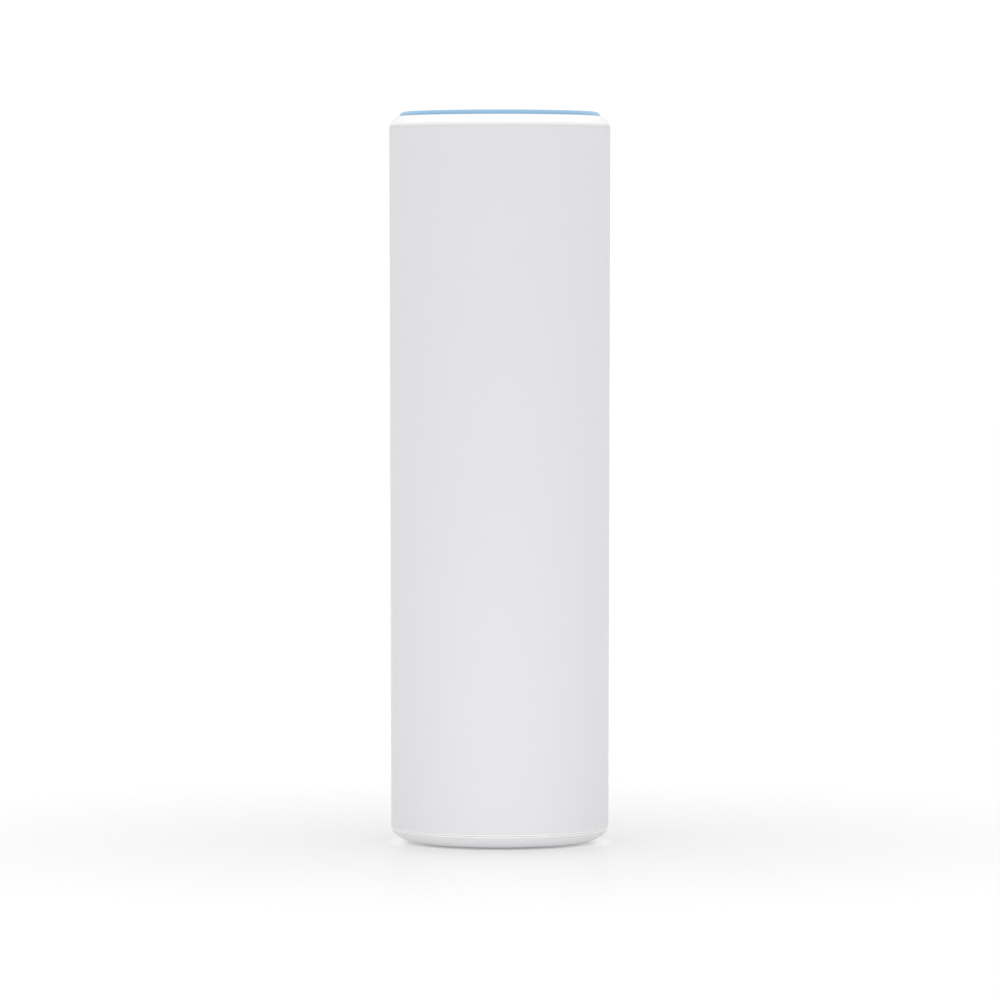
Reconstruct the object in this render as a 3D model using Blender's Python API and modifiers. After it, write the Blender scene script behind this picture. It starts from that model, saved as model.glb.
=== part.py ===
"""A slim round mesh wifi node that stands on a desk or shelf.

Metres, +Z up. The origin is on the floor, on the axis of the body. The plain front looks
towards -Y and the network cable leaves at the back, +Y. The base cap stays on the desk: the casing
stands on it with the cap's lugs in line with the entry gaps, turns on it to lock, and lifts off it.
"""

import math

import bmesh
import bpy
from mathutils import Vector

# Overall shape
HEIGHT = 0.1577
TOP_RADIUS = 0.02385
FOOT_RADIUS = 0.0235
GAP = 0.0003
ROUND_STEPS = 64
INNER_STEPS = 48

# Outer tube
TUBE_LOW = 0.0031
TUBE_HIGH = 0.1543
TUBE_WALL = 0.0018
TUBE_EDGE = 0.0006

# Shoulder bezel, lit ring and lid
SHOULDER_LOW = 0.1540
SHOULDER_HIGH = 0.15685
SHOULDER_WIDTH = 0.0022
BEZEL_SEAT = 0.1555
SKIRT_LOW = 0.1495
SKIRT_WALL = 0.00125
RING_INNER = 0.0183
RING_DOME = 0.0009
PIPE_INNER = 0.0188
PIPE_OUTER = 0.0202
PIPE_LOW = 0.1526
LID_RADIUS = 0.0180
LID_THICK = 0.0016
LID_DISH = 0.0005

# Base cap, its lugs, seal and foot
CAP_FLOAT = 0.0003
CAP_RIM_TOP = 0.0028
CAP_FLAT_RADIUS = 0.0189
CAP_EDGE_POWER = 1.6  # 2 rounds the lower edge as an ellipse, 1 would make it a straight chamfer
COLLAR_INNER = 0.0189
COLLAR_OUTER = 0.0203
COLLAR_TOP = 0.0090
LUG_OUTER = 0.0214
LUG_HEIGHT = 0.0019
LUG_HALF_ANGLE = 5.0
LUG_ANGLES = (30.0, 150.0, 270.0)
LEDGE_INNER = 0.0206
LEDGE_LOW = 0.0050
LEDGE_HIGH = 0.0068
LEDGE_START = 8.0
LEDGE_END = 24.0
STOP_START = 21.2  # 15 degrees of turn, the lug's half angle and a little play
STOP_TOP = 0.0094
FOOT_INNER = 0.0110
FOOT_OUTER = 0.0166
FOOT_THICK = 0.0010
SEAL_LOW = 0.0031
SEAL_HIGH = 0.0045

# Cable opening at the back: an arch in the tube over a wider slot in the cap's collar
ARCH_WIDTH = 0.0078
ARCH_TOP = 0.0086
ARCH_CORNER = 0.0034
COLLAR_SLOT_WIDTH = 0.0184

# Connector well
WELL_LOW = 0.0105
WELL_CEILING = 0.0372
WELL_TOP = 0.0392
WELL_OUTER = 0.0214
WELL_INNER = 0.0204

# Main board and the frame that holds it
BOARD_HALF_WIDTH = 0.0170
BOARD_FRONT = 0.0002
BOARD_BACK = 0.0018
BOARD_LOW = 0.0406
BOARD_HIGH = 0.1420
RAIL_INNER = 0.0164
RAIL_OUTER = 0.0204
RAIL_FRONT = -0.0024
RAIL_BACK = 0.0042
HOOP_LOW = 0.1470
HOOP_HIGH = 0.1498
HOOP_INNER = 0.0120
HOOP_OUTER = 0.0202
WELL_SCREW_X = 0.0166
WELL_SCREW_Y = 0.0060

# Network jack
JACK_CENTRE_Y = -0.0071
JACK_LOW = 0.0370
JACK_LENGTH = 0.0212
JACK_WIDTH = 0.0152
JACK_DEPTH = 0.0128
SHIELD_WALL = 0.0003
PLUG_WIDTH = 0.0119
PLUG_DEPTH = 0.0150
CONTACT_PITCH = 0.00102
CONTACTS = 8

# Heat sink
SINK_LOW = 0.0470
SINK_HIGH = 0.1100
SINK_FRONT = 0.0046
SINK_BACK = 0.0068
SINK_HALF_WIDTH = 0.0185
SINK_REACH = 0.0204
FIN_PITCH = 0.0042
FIN_THICK = 0.0012
FINS_EACH_SIDE = 4
WINDING_HALF_THICK = 0.0052
CAPACITOR_RADIUS = 0.00315
CAPACITOR_LENGTH = 0.0110
BOARD_SCREW_X = 0.0130
BOARD_SCREW_Z = (0.0530, 0.1040)
BOSS_RADIUS = 0.0023
SCREW_RADIUS = 0.0009

# Reset button
RESET_X = 0.0110
RESET_Y = 0.0046
RESET_TRAVEL = 0.0006
RESET_RADIUS = 0.0015
STEM_RADIUS = 0.0008
SWITCH_LOW = 0.0420
SWITCH_HIGH = 0.0460

# Antennas and the light module
CARRIER_INNER = 0.0186
CARRIER_OUTER = 0.0194
ANTENNA_LOW = 0.1140
ANTENNA_HIGH = 0.1440
ANTENNA_WIDTH = 0.0110
ANTENNA_THICK = 0.0006
ANTENNA_ANGLES = (45.0, 135.0, 225.0, 315.0)
LEAD_RADIUS = 0.00055
LED_BOARD_LOW = 0.1501
LED_BOARD_HIGH = 0.1513
LED_BOARD_INNER = 0.0150
LED_COUNT = 6
LED_CIRCLE = 0.0192
BAFFLE_INNER = 0.0169
BAFFLE_OUTER = 0.0179

# Finishes: colour, roughness, metallic
WHITE_PLASTIC = ((0.78, 0.78, 0.79), 0.45, 0.0)
BRIGHT_PLASTIC = ((0.86, 0.86, 0.87), 0.35, 0.0)
LIT_BLUE = ((0.31, 0.52, 0.72), 0.30, 0.0)
INNER_PLASTIC = ((0.10, 0.10, 0.11), 0.55, 0.0)
SOFT_RUBBER = ((0.28, 0.28, 0.29), 0.80, 0.0)
BOARD_GREEN = ((0.03, 0.16, 0.09), 0.45, 0.0)
BOARD_WHITE = ((0.75, 0.75, 0.73), 0.50, 0.0)
CHIP_BLACK = ((0.02, 0.02, 0.022), 0.50, 0.0)
CAST_ALUMINIUM = ((0.60, 0.61, 0.62), 0.40, 1.0)
TINNED_STEEL = ((0.66, 0.66, 0.65), 0.28, 1.0)
SCREW_STEEL = ((0.50, 0.50, 0.51), 0.30, 1.0)
GOLD = ((0.83, 0.60, 0.22), 0.25, 1.0)
BRASS = ((0.76, 0.62, 0.35), 0.35, 1.0)
PAD_GREY = ((0.42, 0.46, 0.52), 0.85, 0.0)
FERRITE = ((0.09, 0.09, 0.095), 0.60, 0.0)
TAPE_YELLOW = ((0.80, 0.60, 0.12), 0.50, 0.0)
CAN_SLEEVE = ((0.07, 0.08, 0.16), 0.40, 0.0)
LEAD_GREY = ((0.16, 0.16, 0.17), 0.50, 0.0)
LED_YELLOW = ((0.85, 0.80, 0.45), 0.40, 0.0)


def new_collection(name):
    """A collection linked under the scene's own."""
    made = bpy.data.collections.new(name)
    bpy.context.scene.collection.children.link(made)
    return made


def clear_scene():
    """Removes every object of the scene."""
    for obj in list(bpy.data.objects):
        bpy.data.objects.remove(obj, do_unlink=True)


clear_scene()
PARTS = new_collection("mesh_wifi_node")
CUTTERS = new_collection("cutters")


def dress(obj, finish):
    """Gives a part its own Principled material."""
    colour, roughness, metallic = finish
    material = bpy.data.materials.new(obj.name)
    material.use_nodes = True
    shader = material.node_tree.nodes["Principled BSDF"]
    shader.inputs["Base Color"].default_value = (*colour, 1.0)
    shader.inputs["Roughness"].default_value = roughness
    shader.inputs["Metallic"].default_value = metallic
    obj.data.materials.clear()
    obj.data.materials.append(material)


def place(name, data, finish):
    """Links a mesh as a part with a finish or, without one, as a cutter."""
    obj = bpy.data.objects.new(name, data)
    if finish is None:
        CUTTERS.objects.link(obj)
        obj.hide_render = True
        obj.display_type = "WIRE"
    else:
        PARTS.objects.link(obj)
        dress(obj, finish)
    return obj


def mesh_from(name, fill):
    """A mesh filled by one function that works on a bmesh."""
    mesh = bpy.data.meshes.new(name)
    shape = bmesh.new()
    fill(shape)
    bmesh.ops.recalc_face_normals(shape, faces=shape.faces)
    shape.to_mesh(mesh)
    shape.free()
    return mesh


def block(name, low, high, finish=None, edge=0.0):
    """A box between two corners, with bevelled edges if edge is given."""
    low, high = Vector(low), Vector(high)

    def fill(shape):
        bmesh.ops.create_cube(shape, size=1.0)
        bmesh.ops.scale(shape, vec=high - low, verts=shape.verts)

    obj = place(name, mesh_from(name, fill), finish)
    obj.location = (low + high) / 2
    if edge:
        bevel = obj.modifiers.new("rounded edges", "BEVEL")
        bevel.width = edge
        bevel.segments = 1
    return obj


def rod(name, radius, start, end, finish=None, sides=16, edge=0.0):
    """A round bar between two points, standing along Z or lying along Y."""
    start, end = Vector(start), Vector(end)

    def fill(shape):
        bmesh.ops.create_cone(
            shape, cap_ends=True, segments=sides, radius1=radius, radius2=radius, depth=(end - start).length
        )

    obj = place(name, mesh_from(name, fill), finish)
    obj.data.shade_smooth()
    obj.data.set_sharp_from_angle(angle=math.radians(40))
    obj.location = (start + end) / 2
    obj.rotation_euler = (end - start).to_track_quat("Z", "Y").to_euler()
    if edge:
        bevel = obj.modifiers.new("rounded rims", "BEVEL")
        bevel.width = edge
        bevel.segments = 1
    return obj


def turned(name, profile, finish=None, steps=ROUND_STEPS, closed=True):
    """Turns a profile of (radius, height) points, listed down its outer side, about Z."""
    mesh = bpy.data.meshes.new(name)
    points = [(radius, 0.0, height) for radius, height in profile]
    edges = [(i, i + 1) for i in range(len(points) - 1)]
    if closed:
        edges.append((len(points) - 1, 0))
    mesh.from_pydata(points, edges, [])
    obj = place(name, mesh, finish)
    screw = obj.modifiers.new("turn", "SCREW")
    screw.axis = "Z"
    screw.angle = math.tau
    screw.steps = steps
    screw.render_steps = steps
    screw.use_merge_vertices = True
    screw.merge_threshold = 1e-6
    screw.use_smooth_shade = True
    return obj


def flat_piece(name, outline, thickness, finish=None):
    """A flat outline in its XY plane, given a thickness about that plane, as a welded mesh."""
    curve = bpy.data.curves.new(name + " outline", "CURVE")
    curve.dimensions = "2D"
    curve.fill_mode = "BOTH"
    curve.extrude = thickness / 2
    spline = curve.splines.new("POLY")
    spline.points.add(len(outline) - 1)
    for point, (x, y) in zip(spline.points, outline):
        point.co = (x, y, 0.0, 1.0)
    spline.use_cyclic_u = True
    drawn = bpy.data.objects.new(name + " outline", curve)
    bpy.context.scene.collection.objects.link(drawn)
    bpy.context.view_layer.update()
    graph = bpy.context.evaluated_depsgraph_get()
    mesh = bpy.data.meshes.new_from_object(drawn.evaluated_get(graph))
    bpy.data.objects.remove(drawn, do_unlink=True)
    shape = bmesh.new()
    shape.from_mesh(mesh)
    bmesh.ops.remove_doubles(shape, verts=shape.verts, dist=1e-6)
    bmesh.ops.recalc_face_normals(shape, faces=shape.faces)
    shape.to_mesh(mesh)
    shape.free()
    return place(name, mesh, finish)


def lead(name, route, radius, finish):
    """A thin round lead along a smooth curve through the route's points."""
    curve = bpy.data.curves.new(name, "CURVE")
    curve.dimensions = "3D"
    curve.bevel_depth = radius
    curve.bevel_resolution = 2
    curve.use_fill_caps = True
    points = smooth_route([Vector(point) for point in route])
    spline = curve.splines.new("POLY")
    spline.points.add(len(points) - 1)
    for point, position in zip(spline.points, points):
        point.co = (*position, 1.0)
    return place(name, curve, finish)


def smooth_route(points, between=3):
    """Points of a Catmull-Rom curve that passes through the given ones."""
    ends = [2 * points[0] - points[1], *points, 2 * points[-1] - points[-2]]
    found = []
    for a, b, c, d in zip(ends, ends[1:], ends[2:], ends[3:]):
        for step in range(between):
            t = step / between
            found.append(
                b + 0.5 * t * (c - a + t * (2 * a - 5 * b + 4 * c - d + t * (3 * (b - c) + d - a)))
            )
    return [*found, points[-1]]


def combine(obj, other, operation):
    """Adds a Boolean with a helper object."""
    boolean = obj.modifiers.new(f"{operation.lower()} {other.name}", "BOOLEAN")
    boolean.operation = operation
    boolean.object = other
    boolean.solver = "EXACT"


def cut(obj, *cutters):
    """Cuts helpers away from a part."""
    for cutter in cutters:
        combine(obj, cutter, "DIFFERENCE")


def add(obj, *pieces):
    """Joins helpers to a part as one body."""
    for piece in pieces:
        combine(obj, piece, "UNION")


def rounded_outline(width, height, corner, steps=4):
    """A rectangle about the origin with round corners."""
    points = []
    for quarter, (sx, sy) in enumerate(((1, 1), (-1, 1), (-1, -1), (1, -1))):
        centre_x, centre_y = sx * (width / 2 - corner), sy * (height / 2 - corner)
        for step in range(steps + 1):
            angle = math.radians(90) * (quarter + step / steps)
            points.append((centre_x + corner * math.cos(angle), centre_y + corner * math.sin(angle)))
    return points


def arc_block(name, inner, outer, start, end, low, high, finish=None, step=4.0):
    """A curved bar: a ring's sector between two angles in degrees and two heights."""
    count = max(1, round((end - start) / step))
    angles = [math.radians(start + (end - start) * i / count) for i in range(count + 1)]
    outline = [(outer * math.cos(a), outer * math.sin(a)) for a in angles]
    outline += [(inner * math.cos(a), inner * math.sin(a)) for a in reversed(angles)]
    obj = flat_piece(name, outline, high - low, finish)
    obj.location.z = (low + high) / 2
    return obj


def ellipse_arc(centre, half_width, half_height, start, end, steps):
    """Points along an ellipse's arc between two angles in degrees."""
    angles = [math.radians(start + (end - start) * i / steps) for i in range(steps + 1)]
    return [(centre[0] + half_width * math.cos(a), centre[1] + half_height * math.sin(a)) for a in angles]


def blunt_arc(centre, half_width, half_height, power, steps):
    """Points down a quarter of a superellipse, from beside its centre to below it."""
    bend = 2 / power
    angles = [math.pi / 2 * i / steps for i in range(steps + 1)]
    return [
        (centre[0] + half_width * math.cos(a) ** bend, centre[1] - half_height * math.sin(a) ** bend)
        for a in angles
    ]


def tube_radius(height):
    """Outer radius of the moulded tube, which widens a little towards the top."""
    share = (height - TUBE_LOW) / (SHOULDER_LOW - TUBE_LOW)
    return FOOT_RADIUS + share * (TOP_RADIUS - FOOT_RADIUS)


def shoulder_point(height):
    """Outer radius on the shoulder's quarter ellipse at a height."""
    rise = (height - SHOULDER_LOW) / (SHOULDER_HIGH - SHOULDER_LOW)
    return TOP_RADIUS - SHOULDER_WIDTH * (1 - math.sqrt(1 - rise * rise))


# ---------------------------------------------------------------- casing


def outer_tube():
    """The tall tapered sleeve, with the bayonet's ledges inside and the cable arch at the back."""
    tube = turned(
        "outer_tube",
        [
            (tube_radius(TUBE_HIGH) - TUBE_WALL, TUBE_HIGH),
            (shoulder_point(TUBE_HIGH), TUBE_HIGH),
            (TOP_RADIUS, SHOULDER_LOW),
            (tube_radius(TUBE_LOW + TUBE_EDGE), TUBE_LOW + TUBE_EDGE),
            (FOOT_RADIUS - TUBE_EDGE / 4, TUBE_LOW),
            (FOOT_RADIUS - TUBE_WALL, TUBE_LOW),
        ],
        WHITE_PLASTIC,
    )
    for number, angle in enumerate(LUG_ANGLES, 1):
        ledge_start, ledge_end = angle + LEDGE_START, angle + LEDGE_END
        into_wall = FOOT_RADIUS - TUBE_WALL / 2
        add(
            tube,
            arc_block(
                f"ledge_{number}", LEDGE_INNER, into_wall, ledge_start, ledge_end, LEDGE_LOW, LEDGE_HIGH
            ),
            arc_block(
                f"stop_{number}", LEDGE_INNER, into_wall, angle + STOP_START, ledge_end, LEDGE_LOW, STOP_TOP
            ),
        )
    arch = flat_piece("cable_arch", rounded_outline(ARCH_WIDTH, 2 * ARCH_TOP, ARCH_CORNER, steps=6), 0.010)
    arch.location = (0, FOOT_RADIUS - TUBE_WALL, 0)
    arch.rotation_euler.x = math.radians(90)
    cut(tube, arch)


def top_bezel():
    """The bright rounded shoulder, with a skirt that plugs into the tube."""
    inner = TOP_RADIUS - SHOULDER_WIDTH
    skirt_outer = tube_radius(TUBE_HIGH) - TUBE_WALL - GAP
    seam = TUBE_HIGH + GAP
    first = math.degrees(math.asin((seam - SHOULDER_LOW) / (SHOULDER_HIGH - SHOULDER_LOW)))
    shoulder = ellipse_arc(
        (inner, SHOULDER_LOW), SHOULDER_WIDTH, SHOULDER_HIGH - SHOULDER_LOW, 90, first, 7
    )
    turned(
        "top_bezel",
        [
            *shoulder,
            (skirt_outer, seam),
            (skirt_outer, SKIRT_LOW),
            (skirt_outer - SKIRT_WALL, SKIRT_LOW),
            (skirt_outer - SKIRT_WALL, BEZEL_SEAT),
            (inner, BEZEL_SEAT),
        ],
        BRIGHT_PLASTIC,
    )


def light_ring():
    """The translucent ring that shows the status light, with its light pipe below."""
    outer = TOP_RADIUS - SHOULDER_WIDTH - GAP
    low = BEZEL_SEAT + GAP
    crown = ellipse_arc((outer - 2 * RING_DOME, HEIGHT - RING_DOME), 2 * RING_DOME, RING_DOME, 90, 0, 4)
    turned(
        "light_ring",
        [
            (RING_INNER, HEIGHT - RING_DOME / 3),
            (RING_INNER + RING_DOME / 2, HEIGHT),
            *crown,
            (outer, low),
            (PIPE_OUTER, low),
            (PIPE_OUTER, PIPE_LOW),
            (PIPE_INNER, PIPE_LOW),
            (PIPE_INNER, low),
            (RING_INNER, low),
        ],
        LIT_BLUE,
    )


def top_cap():
    """The plain, slightly dished lid inside the light ring."""
    low = BEZEL_SEAT + GAP
    rim = low + LID_THICK
    dish = [
        (LID_RADIUS * share, rim - LID_DISH * (1 - share * share)) for share in (0.0, 0.35, 0.65, 0.92)
    ]
    turned(
        "top_cap",
        [
            *dish,
            (LID_RADIUS - GAP, rim),
            (LID_RADIUS, rim - GAP),
            (LID_RADIUS, low),
            (0.0, low),
        ],
        WHITE_PLASTIC,
        closed=False,
    )


# ---------------------------------------------------------------- base


def base_cap():
    """The twist-off foot: round lower edge, and a collar with three lugs and a slot for the cable."""
    lower_edge = blunt_arc(
        (CAP_FLAT_RADIUS, CAP_RIM_TOP),
        FOOT_RADIUS - GAP / 6 - CAP_FLAT_RADIUS,
        CAP_RIM_TOP - CAP_FLOAT,
        CAP_EDGE_POWER,
        6,
    )
    recess_top = FOOT_THICK + GAP
    cap = turned(
        "base_cap",
        [
            (0.0, CAP_RIM_TOP),
            (COLLAR_INNER, CAP_RIM_TOP),
            (COLLAR_INNER, COLLAR_TOP),
            (COLLAR_OUTER, COLLAR_TOP),
            (COLLAR_OUTER, CAP_RIM_TOP),
            *lower_edge,
            (FOOT_OUTER + GAP, CAP_FLOAT),
            (FOOT_OUTER + GAP, recess_top),
            (FOOT_INNER - GAP, recess_top),
            (FOOT_INNER - GAP, CAP_FLOAT),
            (0.0, CAP_FLOAT),
        ],
        WHITE_PLASTIC,
        closed=False,
    )
    into_collar = (COLLAR_INNER + COLLAR_OUTER) / 2
    for number, angle in enumerate(LUG_ANGLES, 1):
        add(
            cap,
            arc_block(
                f"lug_{number}",
                into_collar,
                LUG_OUTER,
                angle - LUG_HALF_ANGLE,
                angle + LUG_HALF_ANGLE,
                COLLAR_TOP - LUG_HEIGHT,
                COLLAR_TOP - GAP / 3,
            ),
        )
    half_slot = COLLAR_SLOT_WIDTH / 2
    cut(
        cap,
        block(
            "collar_slot",
            (-half_slot, COLLAR_INNER / 2, CAP_RIM_TOP + GAP),
            (half_slot, FOOT_RADIUS, COLLAR_TOP + 0.001),
        ),
    )


def foot_pad():
    """The rubber ring that the node stands on."""
    turned(
        "foot_pad",
        [(FOOT_INNER, FOOT_THICK), (FOOT_OUTER, FOOT_THICK), (FOOT_OUTER, 0.0), (FOOT_INNER, 0.0)],
        SOFT_RUBBER,
    )


def base_seal():
    """The soft ring round the collar that steadies the cap in the tube, open where the cable leaves."""
    inner, outer = COLLAR_OUTER + GAP, FOOT_RADIUS - TUBE_WALL - GAP
    middle = (SEAL_LOW + SEAL_HIGH) / 2
    centre = (inner + outer) / 2
    seal = turned(
        "base_seal",
        [(centre, SEAL_HIGH), (outer, middle), (centre, SEAL_LOW), (inner, middle)],
        SOFT_RUBBER,
        steps=INNER_STEPS,
    )
    half_gap = ARCH_WIDTH / 2 + 2 * GAP
    cut(
        seal,
        block(
            "seal_gap",
            (-half_gap, COLLAR_INNER / 2, SEAL_LOW - 0.001),
            (half_gap, FOOT_RADIUS, SEAL_HIGH + 0.001),
        ),
    )


def hang_on_axes():
    """Parents what turns and lifts to empties on the node's axis; the cap and its foot stay put."""
    twist = bpy.data.objects.new("twist_lock_axis", None)
    lift = bpy.data.objects.new("lift_off_axis", None)
    still = {"base_cap", "foot_pad"}
    for obj in list(PARTS.objects):
        if obj.name == "base_seal":
            obj.parent = twist
        elif obj.parent is None and obj.name not in still:
            obj.parent = lift
    lift.parent = twist
    for empty in (twist, lift):
        PARTS.objects.link(empty)


# ---------------------------------------------------------------- core


def screw(name, head_radius, head_height, length):
    """A pan-head screw that points along +Z, with its head's underside at its origin."""
    socket = head_radius * 0.45
    return turned(
        name,
        [
            (0.0, length),
            (SCREW_RADIUS * 0.6, length),
            (SCREW_RADIUS, length - SCREW_RADIUS),
            (SCREW_RADIUS, 0.0),
            (head_radius, 0.0),
            (head_radius * 0.85, -head_height),
            (socket, -head_height),
            (socket * 0.8, -head_height * 0.4),
            (0.0, -head_height * 0.4),
        ],
        SCREW_STEEL,
        steps=16,
        closed=False,
    )


def connector_well():
    """The upturned cup round the plug, whose ceiling shows the jack, the button and two screws."""
    well = turned(
        "connector_well",
        [
            (0.0, WELL_TOP),
            (WELL_OUTER, WELL_TOP),
            (WELL_OUTER, WELL_LOW),
            (WELL_INNER, WELL_LOW),
            (WELL_INNER, WELL_CEILING),
            (0.0, WELL_CEILING),
        ],
        WHITE_PLASTIC,
        steps=INNER_STEPS,
        closed=False,
    )
    half_width = JACK_WIDTH / 2 + 2 * GAP + SHIELD_WALL
    half_depth = JACK_DEPTH / 2 + 2 * GAP + SHIELD_WALL
    through_low, through_high = WELL_CEILING - 0.002, WELL_TOP + 0.002
    cut(
        well,
        block(
            "jack_window",
            (-half_width, JACK_CENTRE_Y - half_depth, through_low),
            (half_width, JACK_CENTRE_Y + half_depth, through_high),
        ),
        rod(
            "reset_hole",
            RESET_RADIUS + GAP,
            (RESET_X, RESET_Y, through_low),
            (RESET_X, RESET_Y, through_high),
        ),
    )
    for side, word in ((1, "right"), (-1, "left")):
        x = side * WELL_SCREW_X
        cut(
            well,
            rod(
                f"well_hole_{word}",
                SCREW_RADIUS + GAP,
                (x, WELL_SCREW_Y, through_low),
                (x, WELL_SCREW_Y, through_high),
            ),
        )
        fastener = screw(f"well_screw_{word}", 0.0018, 0.0012, 0.0078)
        fastener.location = (x, WELL_SCREW_Y, WELL_CEILING - GAP)


def core_frame():
    """Two slotted rails that grip the board's edges, joined by a hoop at the top."""
    frame = turned(
        "core_frame",
        [
            (HOOP_INNER, HOOP_HIGH),
            (HOOP_OUTER, HOOP_HIGH),
            (HOOP_OUTER, HOOP_LOW),
            (HOOP_INNER, HOOP_LOW),
        ],
        INNER_PLASTIC,
        steps=INNER_STEPS,
    )
    rail_low = WELL_TOP + GAP
    foot_low, foot_high = (0.0146, 0.0024), (0.0188, 0.0092)
    foot_top = SINK_LOW - 0.0005
    screw_clearance = SCREW_RADIUS + GAP
    for side, word in ((1, "right"), (-1, "left")):
        rail_x = sorted((side * RAIL_INNER, side * RAIL_OUTER))
        foot_x = sorted((side * foot_low[0], side * foot_high[0]))
        add(
            frame,
            block(
                f"rail_{word}",
                (rail_x[0], RAIL_FRONT, rail_low),
                (rail_x[1], RAIL_BACK, (HOOP_LOW + HOOP_HIGH) / 2),
            ),
            block(
                f"rail_foot_{word}",
                (foot_x[0], foot_low[1], rail_low - GAP / 6),
                (foot_x[1], foot_high[1], foot_top),
            ),
        )
        screw_x = side * WELL_SCREW_X
        cut(
            frame,
            rod(
                f"foot_hole_{word}",
                screw_clearance,
                (screw_x, WELL_SCREW_Y, rail_low - 0.002),
                (screw_x, WELL_SCREW_Y, foot_top - 0.0012),
            ),
        )
    slot = BOARD_HALF_WIDTH + GAP
    cut(
        frame,
        block(
            "board_slot",
            (-slot, BOARD_FRONT - GAP, BOARD_LOW - GAP),
            (slot, BOARD_BACK + GAP, BOARD_HIGH + GAP),
        ),
    )


def main_board():
    """The tall circuit board, drilled for the four screws that pull it to the heat sink."""
    board = block(
        "main_board",
        (-BOARD_HALF_WIDTH, BOARD_FRONT, BOARD_LOW),
        (BOARD_HALF_WIDTH, BOARD_BACK, BOARD_HIGH),
        BOARD_GREEN,
    )
    number = 0
    for height in BOARD_SCREW_Z:
        for side in (-1, 1):
            number += 1
            x = side * BOARD_SCREW_X
            cut(
                board,
                rod(
                    f"board_hole_{number}",
                    SCREW_RADIUS + 2 * GAP,
                    (x, BOARD_FRONT - 0.002, height),
                    (x, BOARD_BACK + 0.002, height),
                ),
            )
            fastener = screw(f"board_screw_{number}", 0.0021, 0.0013, 0.0058)
            fastener.location = (x, BOARD_FRONT - GAP, height)
            fastener.rotation_euler.x = math.radians(-90)


def fin_outline():
    """The heat sink's section: a flat wall with fins that end on the casing's circle."""
    points = [(-SINK_HALF_WIDTH, SINK_FRONT), (SINK_HALF_WIDTH, SINK_FRONT), (SINK_HALF_WIDTH, SINK_BACK)]
    for step in range(FINS_EACH_SIDE, -FINS_EACH_SIDE - 1, -1):
        right, left = step * FIN_PITCH + FIN_THICK / 2, step * FIN_PITCH - FIN_THICK / 2
        points += [
            (right, SINK_BACK),
            (right, math.sqrt(SINK_REACH**2 - right**2)),
            (left, math.sqrt(SINK_REACH**2 - left**2)),
            (left, SINK_BACK),
        ]
    return [*points, (-SINK_HALF_WIDTH, SINK_BACK)]


def heat_sink():
    """The finned aluminium block behind the board, with four drilled bosses."""
    sink = flat_piece("heat_sink", fin_outline(), SINK_HIGH - SINK_LOW, CAST_ALUMINIUM)
    sink.location.z = (SINK_LOW + SINK_HIGH) / 2
    number = 0
    for height in BOARD_SCREW_Z:
        for x in (-BOARD_SCREW_X, BOARD_SCREW_X):
            number += 1
            add(
                sink,
                rod(
                    f"boss_{number}",
                    BOSS_RADIUS,
                    (x, BOARD_BACK + GAP, height),
                    (x, (SINK_FRONT + SINK_BACK) / 2, height),
                ),
            )
            cut(
                sink,
                rod(
                    f"boss_hole_{number}",
                    SCREW_RADIUS + GAP,
                    (x, BOARD_BACK - 0.002, height),
                    (x, SINK_BACK - 0.0004, height),
                    sides=12,
                ),
            )


def cooled_chip(name, side, height):
    """A square chip behind the board and the soft pad that carries its heat away."""
    half = side / 2
    chip_back = BOARD_BACK + GAP + 0.0012
    block(name, (-half, BOARD_BACK + GAP, height - half), (half, chip_back, height + half), CHIP_BLACK)
    half -= 0.0005
    block(
        f"{name}_pad",
        (-half, chip_back + GAP, height - half),
        (half, SINK_FRONT - GAP, height + half),
        PAD_GREY,
    )


def on_board(name, centre_x, centre_z, width, height, depth, finish, edge=0.0):
    """A block that stands on the board's front face."""
    face = BOARD_FRONT - GAP
    return block(
        name,
        (centre_x - width / 2, face - depth, centre_z - height / 2),
        (centre_x + width / 2, face, centre_z + height / 2),
        finish,
        edge,
    )


def shield_can(name, width, height, depth, centre_z):
    """A thin steel can over a part of the board, open towards it."""
    wall = 0.0003
    can = on_board(name, 0.0, centre_z, width, height, depth, TINNED_STEEL)
    face = BOARD_FRONT - GAP
    cut(
        can,
        block(
            f"{name}_inside",
            (wall - width / 2, face - depth + wall, centre_z - height / 2 + wall),
            (width / 2 - wall, face + 0.001, centre_z + height / 2 - wall),
        ),
    )


def transformer():
    """A small power transformer: a ferrite core with two windows and a taped winding."""
    centre_x, centre_z, centre_y = 0.0045, 0.0805, BOARD_FRONT - GAP - 0.0052
    leg, window, window_height, thick = 0.0036, 0.0030, 0.0070, 0.0060
    half_width, half_height = leg / 2 + window + 0.0022, window_height / 2 + 0.0025

    def centred(name, half_x, half_y, half_z, finish=None, shift_x=0.0, edge=0.0):
        middle = Vector((centre_x + shift_x, centre_y, centre_z))
        reach = Vector((half_x, half_y, half_z))
        return block(name, middle - reach, middle + reach, finish, edge)

    core = centred("transformer_core", half_width, thick / 2, half_height, FERRITE)
    for side, word in ((1, "right"), (-1, "left")):
        shift = side * (leg + window) / 2
        cut(core, centred(f"core_window_{word}", window / 2, thick, window_height / 2, shift_x=shift))
    winding = centred(
        "transformer_winding",
        leg / 2 + window - GAP,
        WINDING_HALF_THICK,
        window_height / 2 - GAP,
        TAPE_YELLOW,
        edge=0.0006,
    )
    cut(winding, centred("winding_bore", leg / 2 + GAP, thick / 2 + GAP, window_height))


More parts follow.
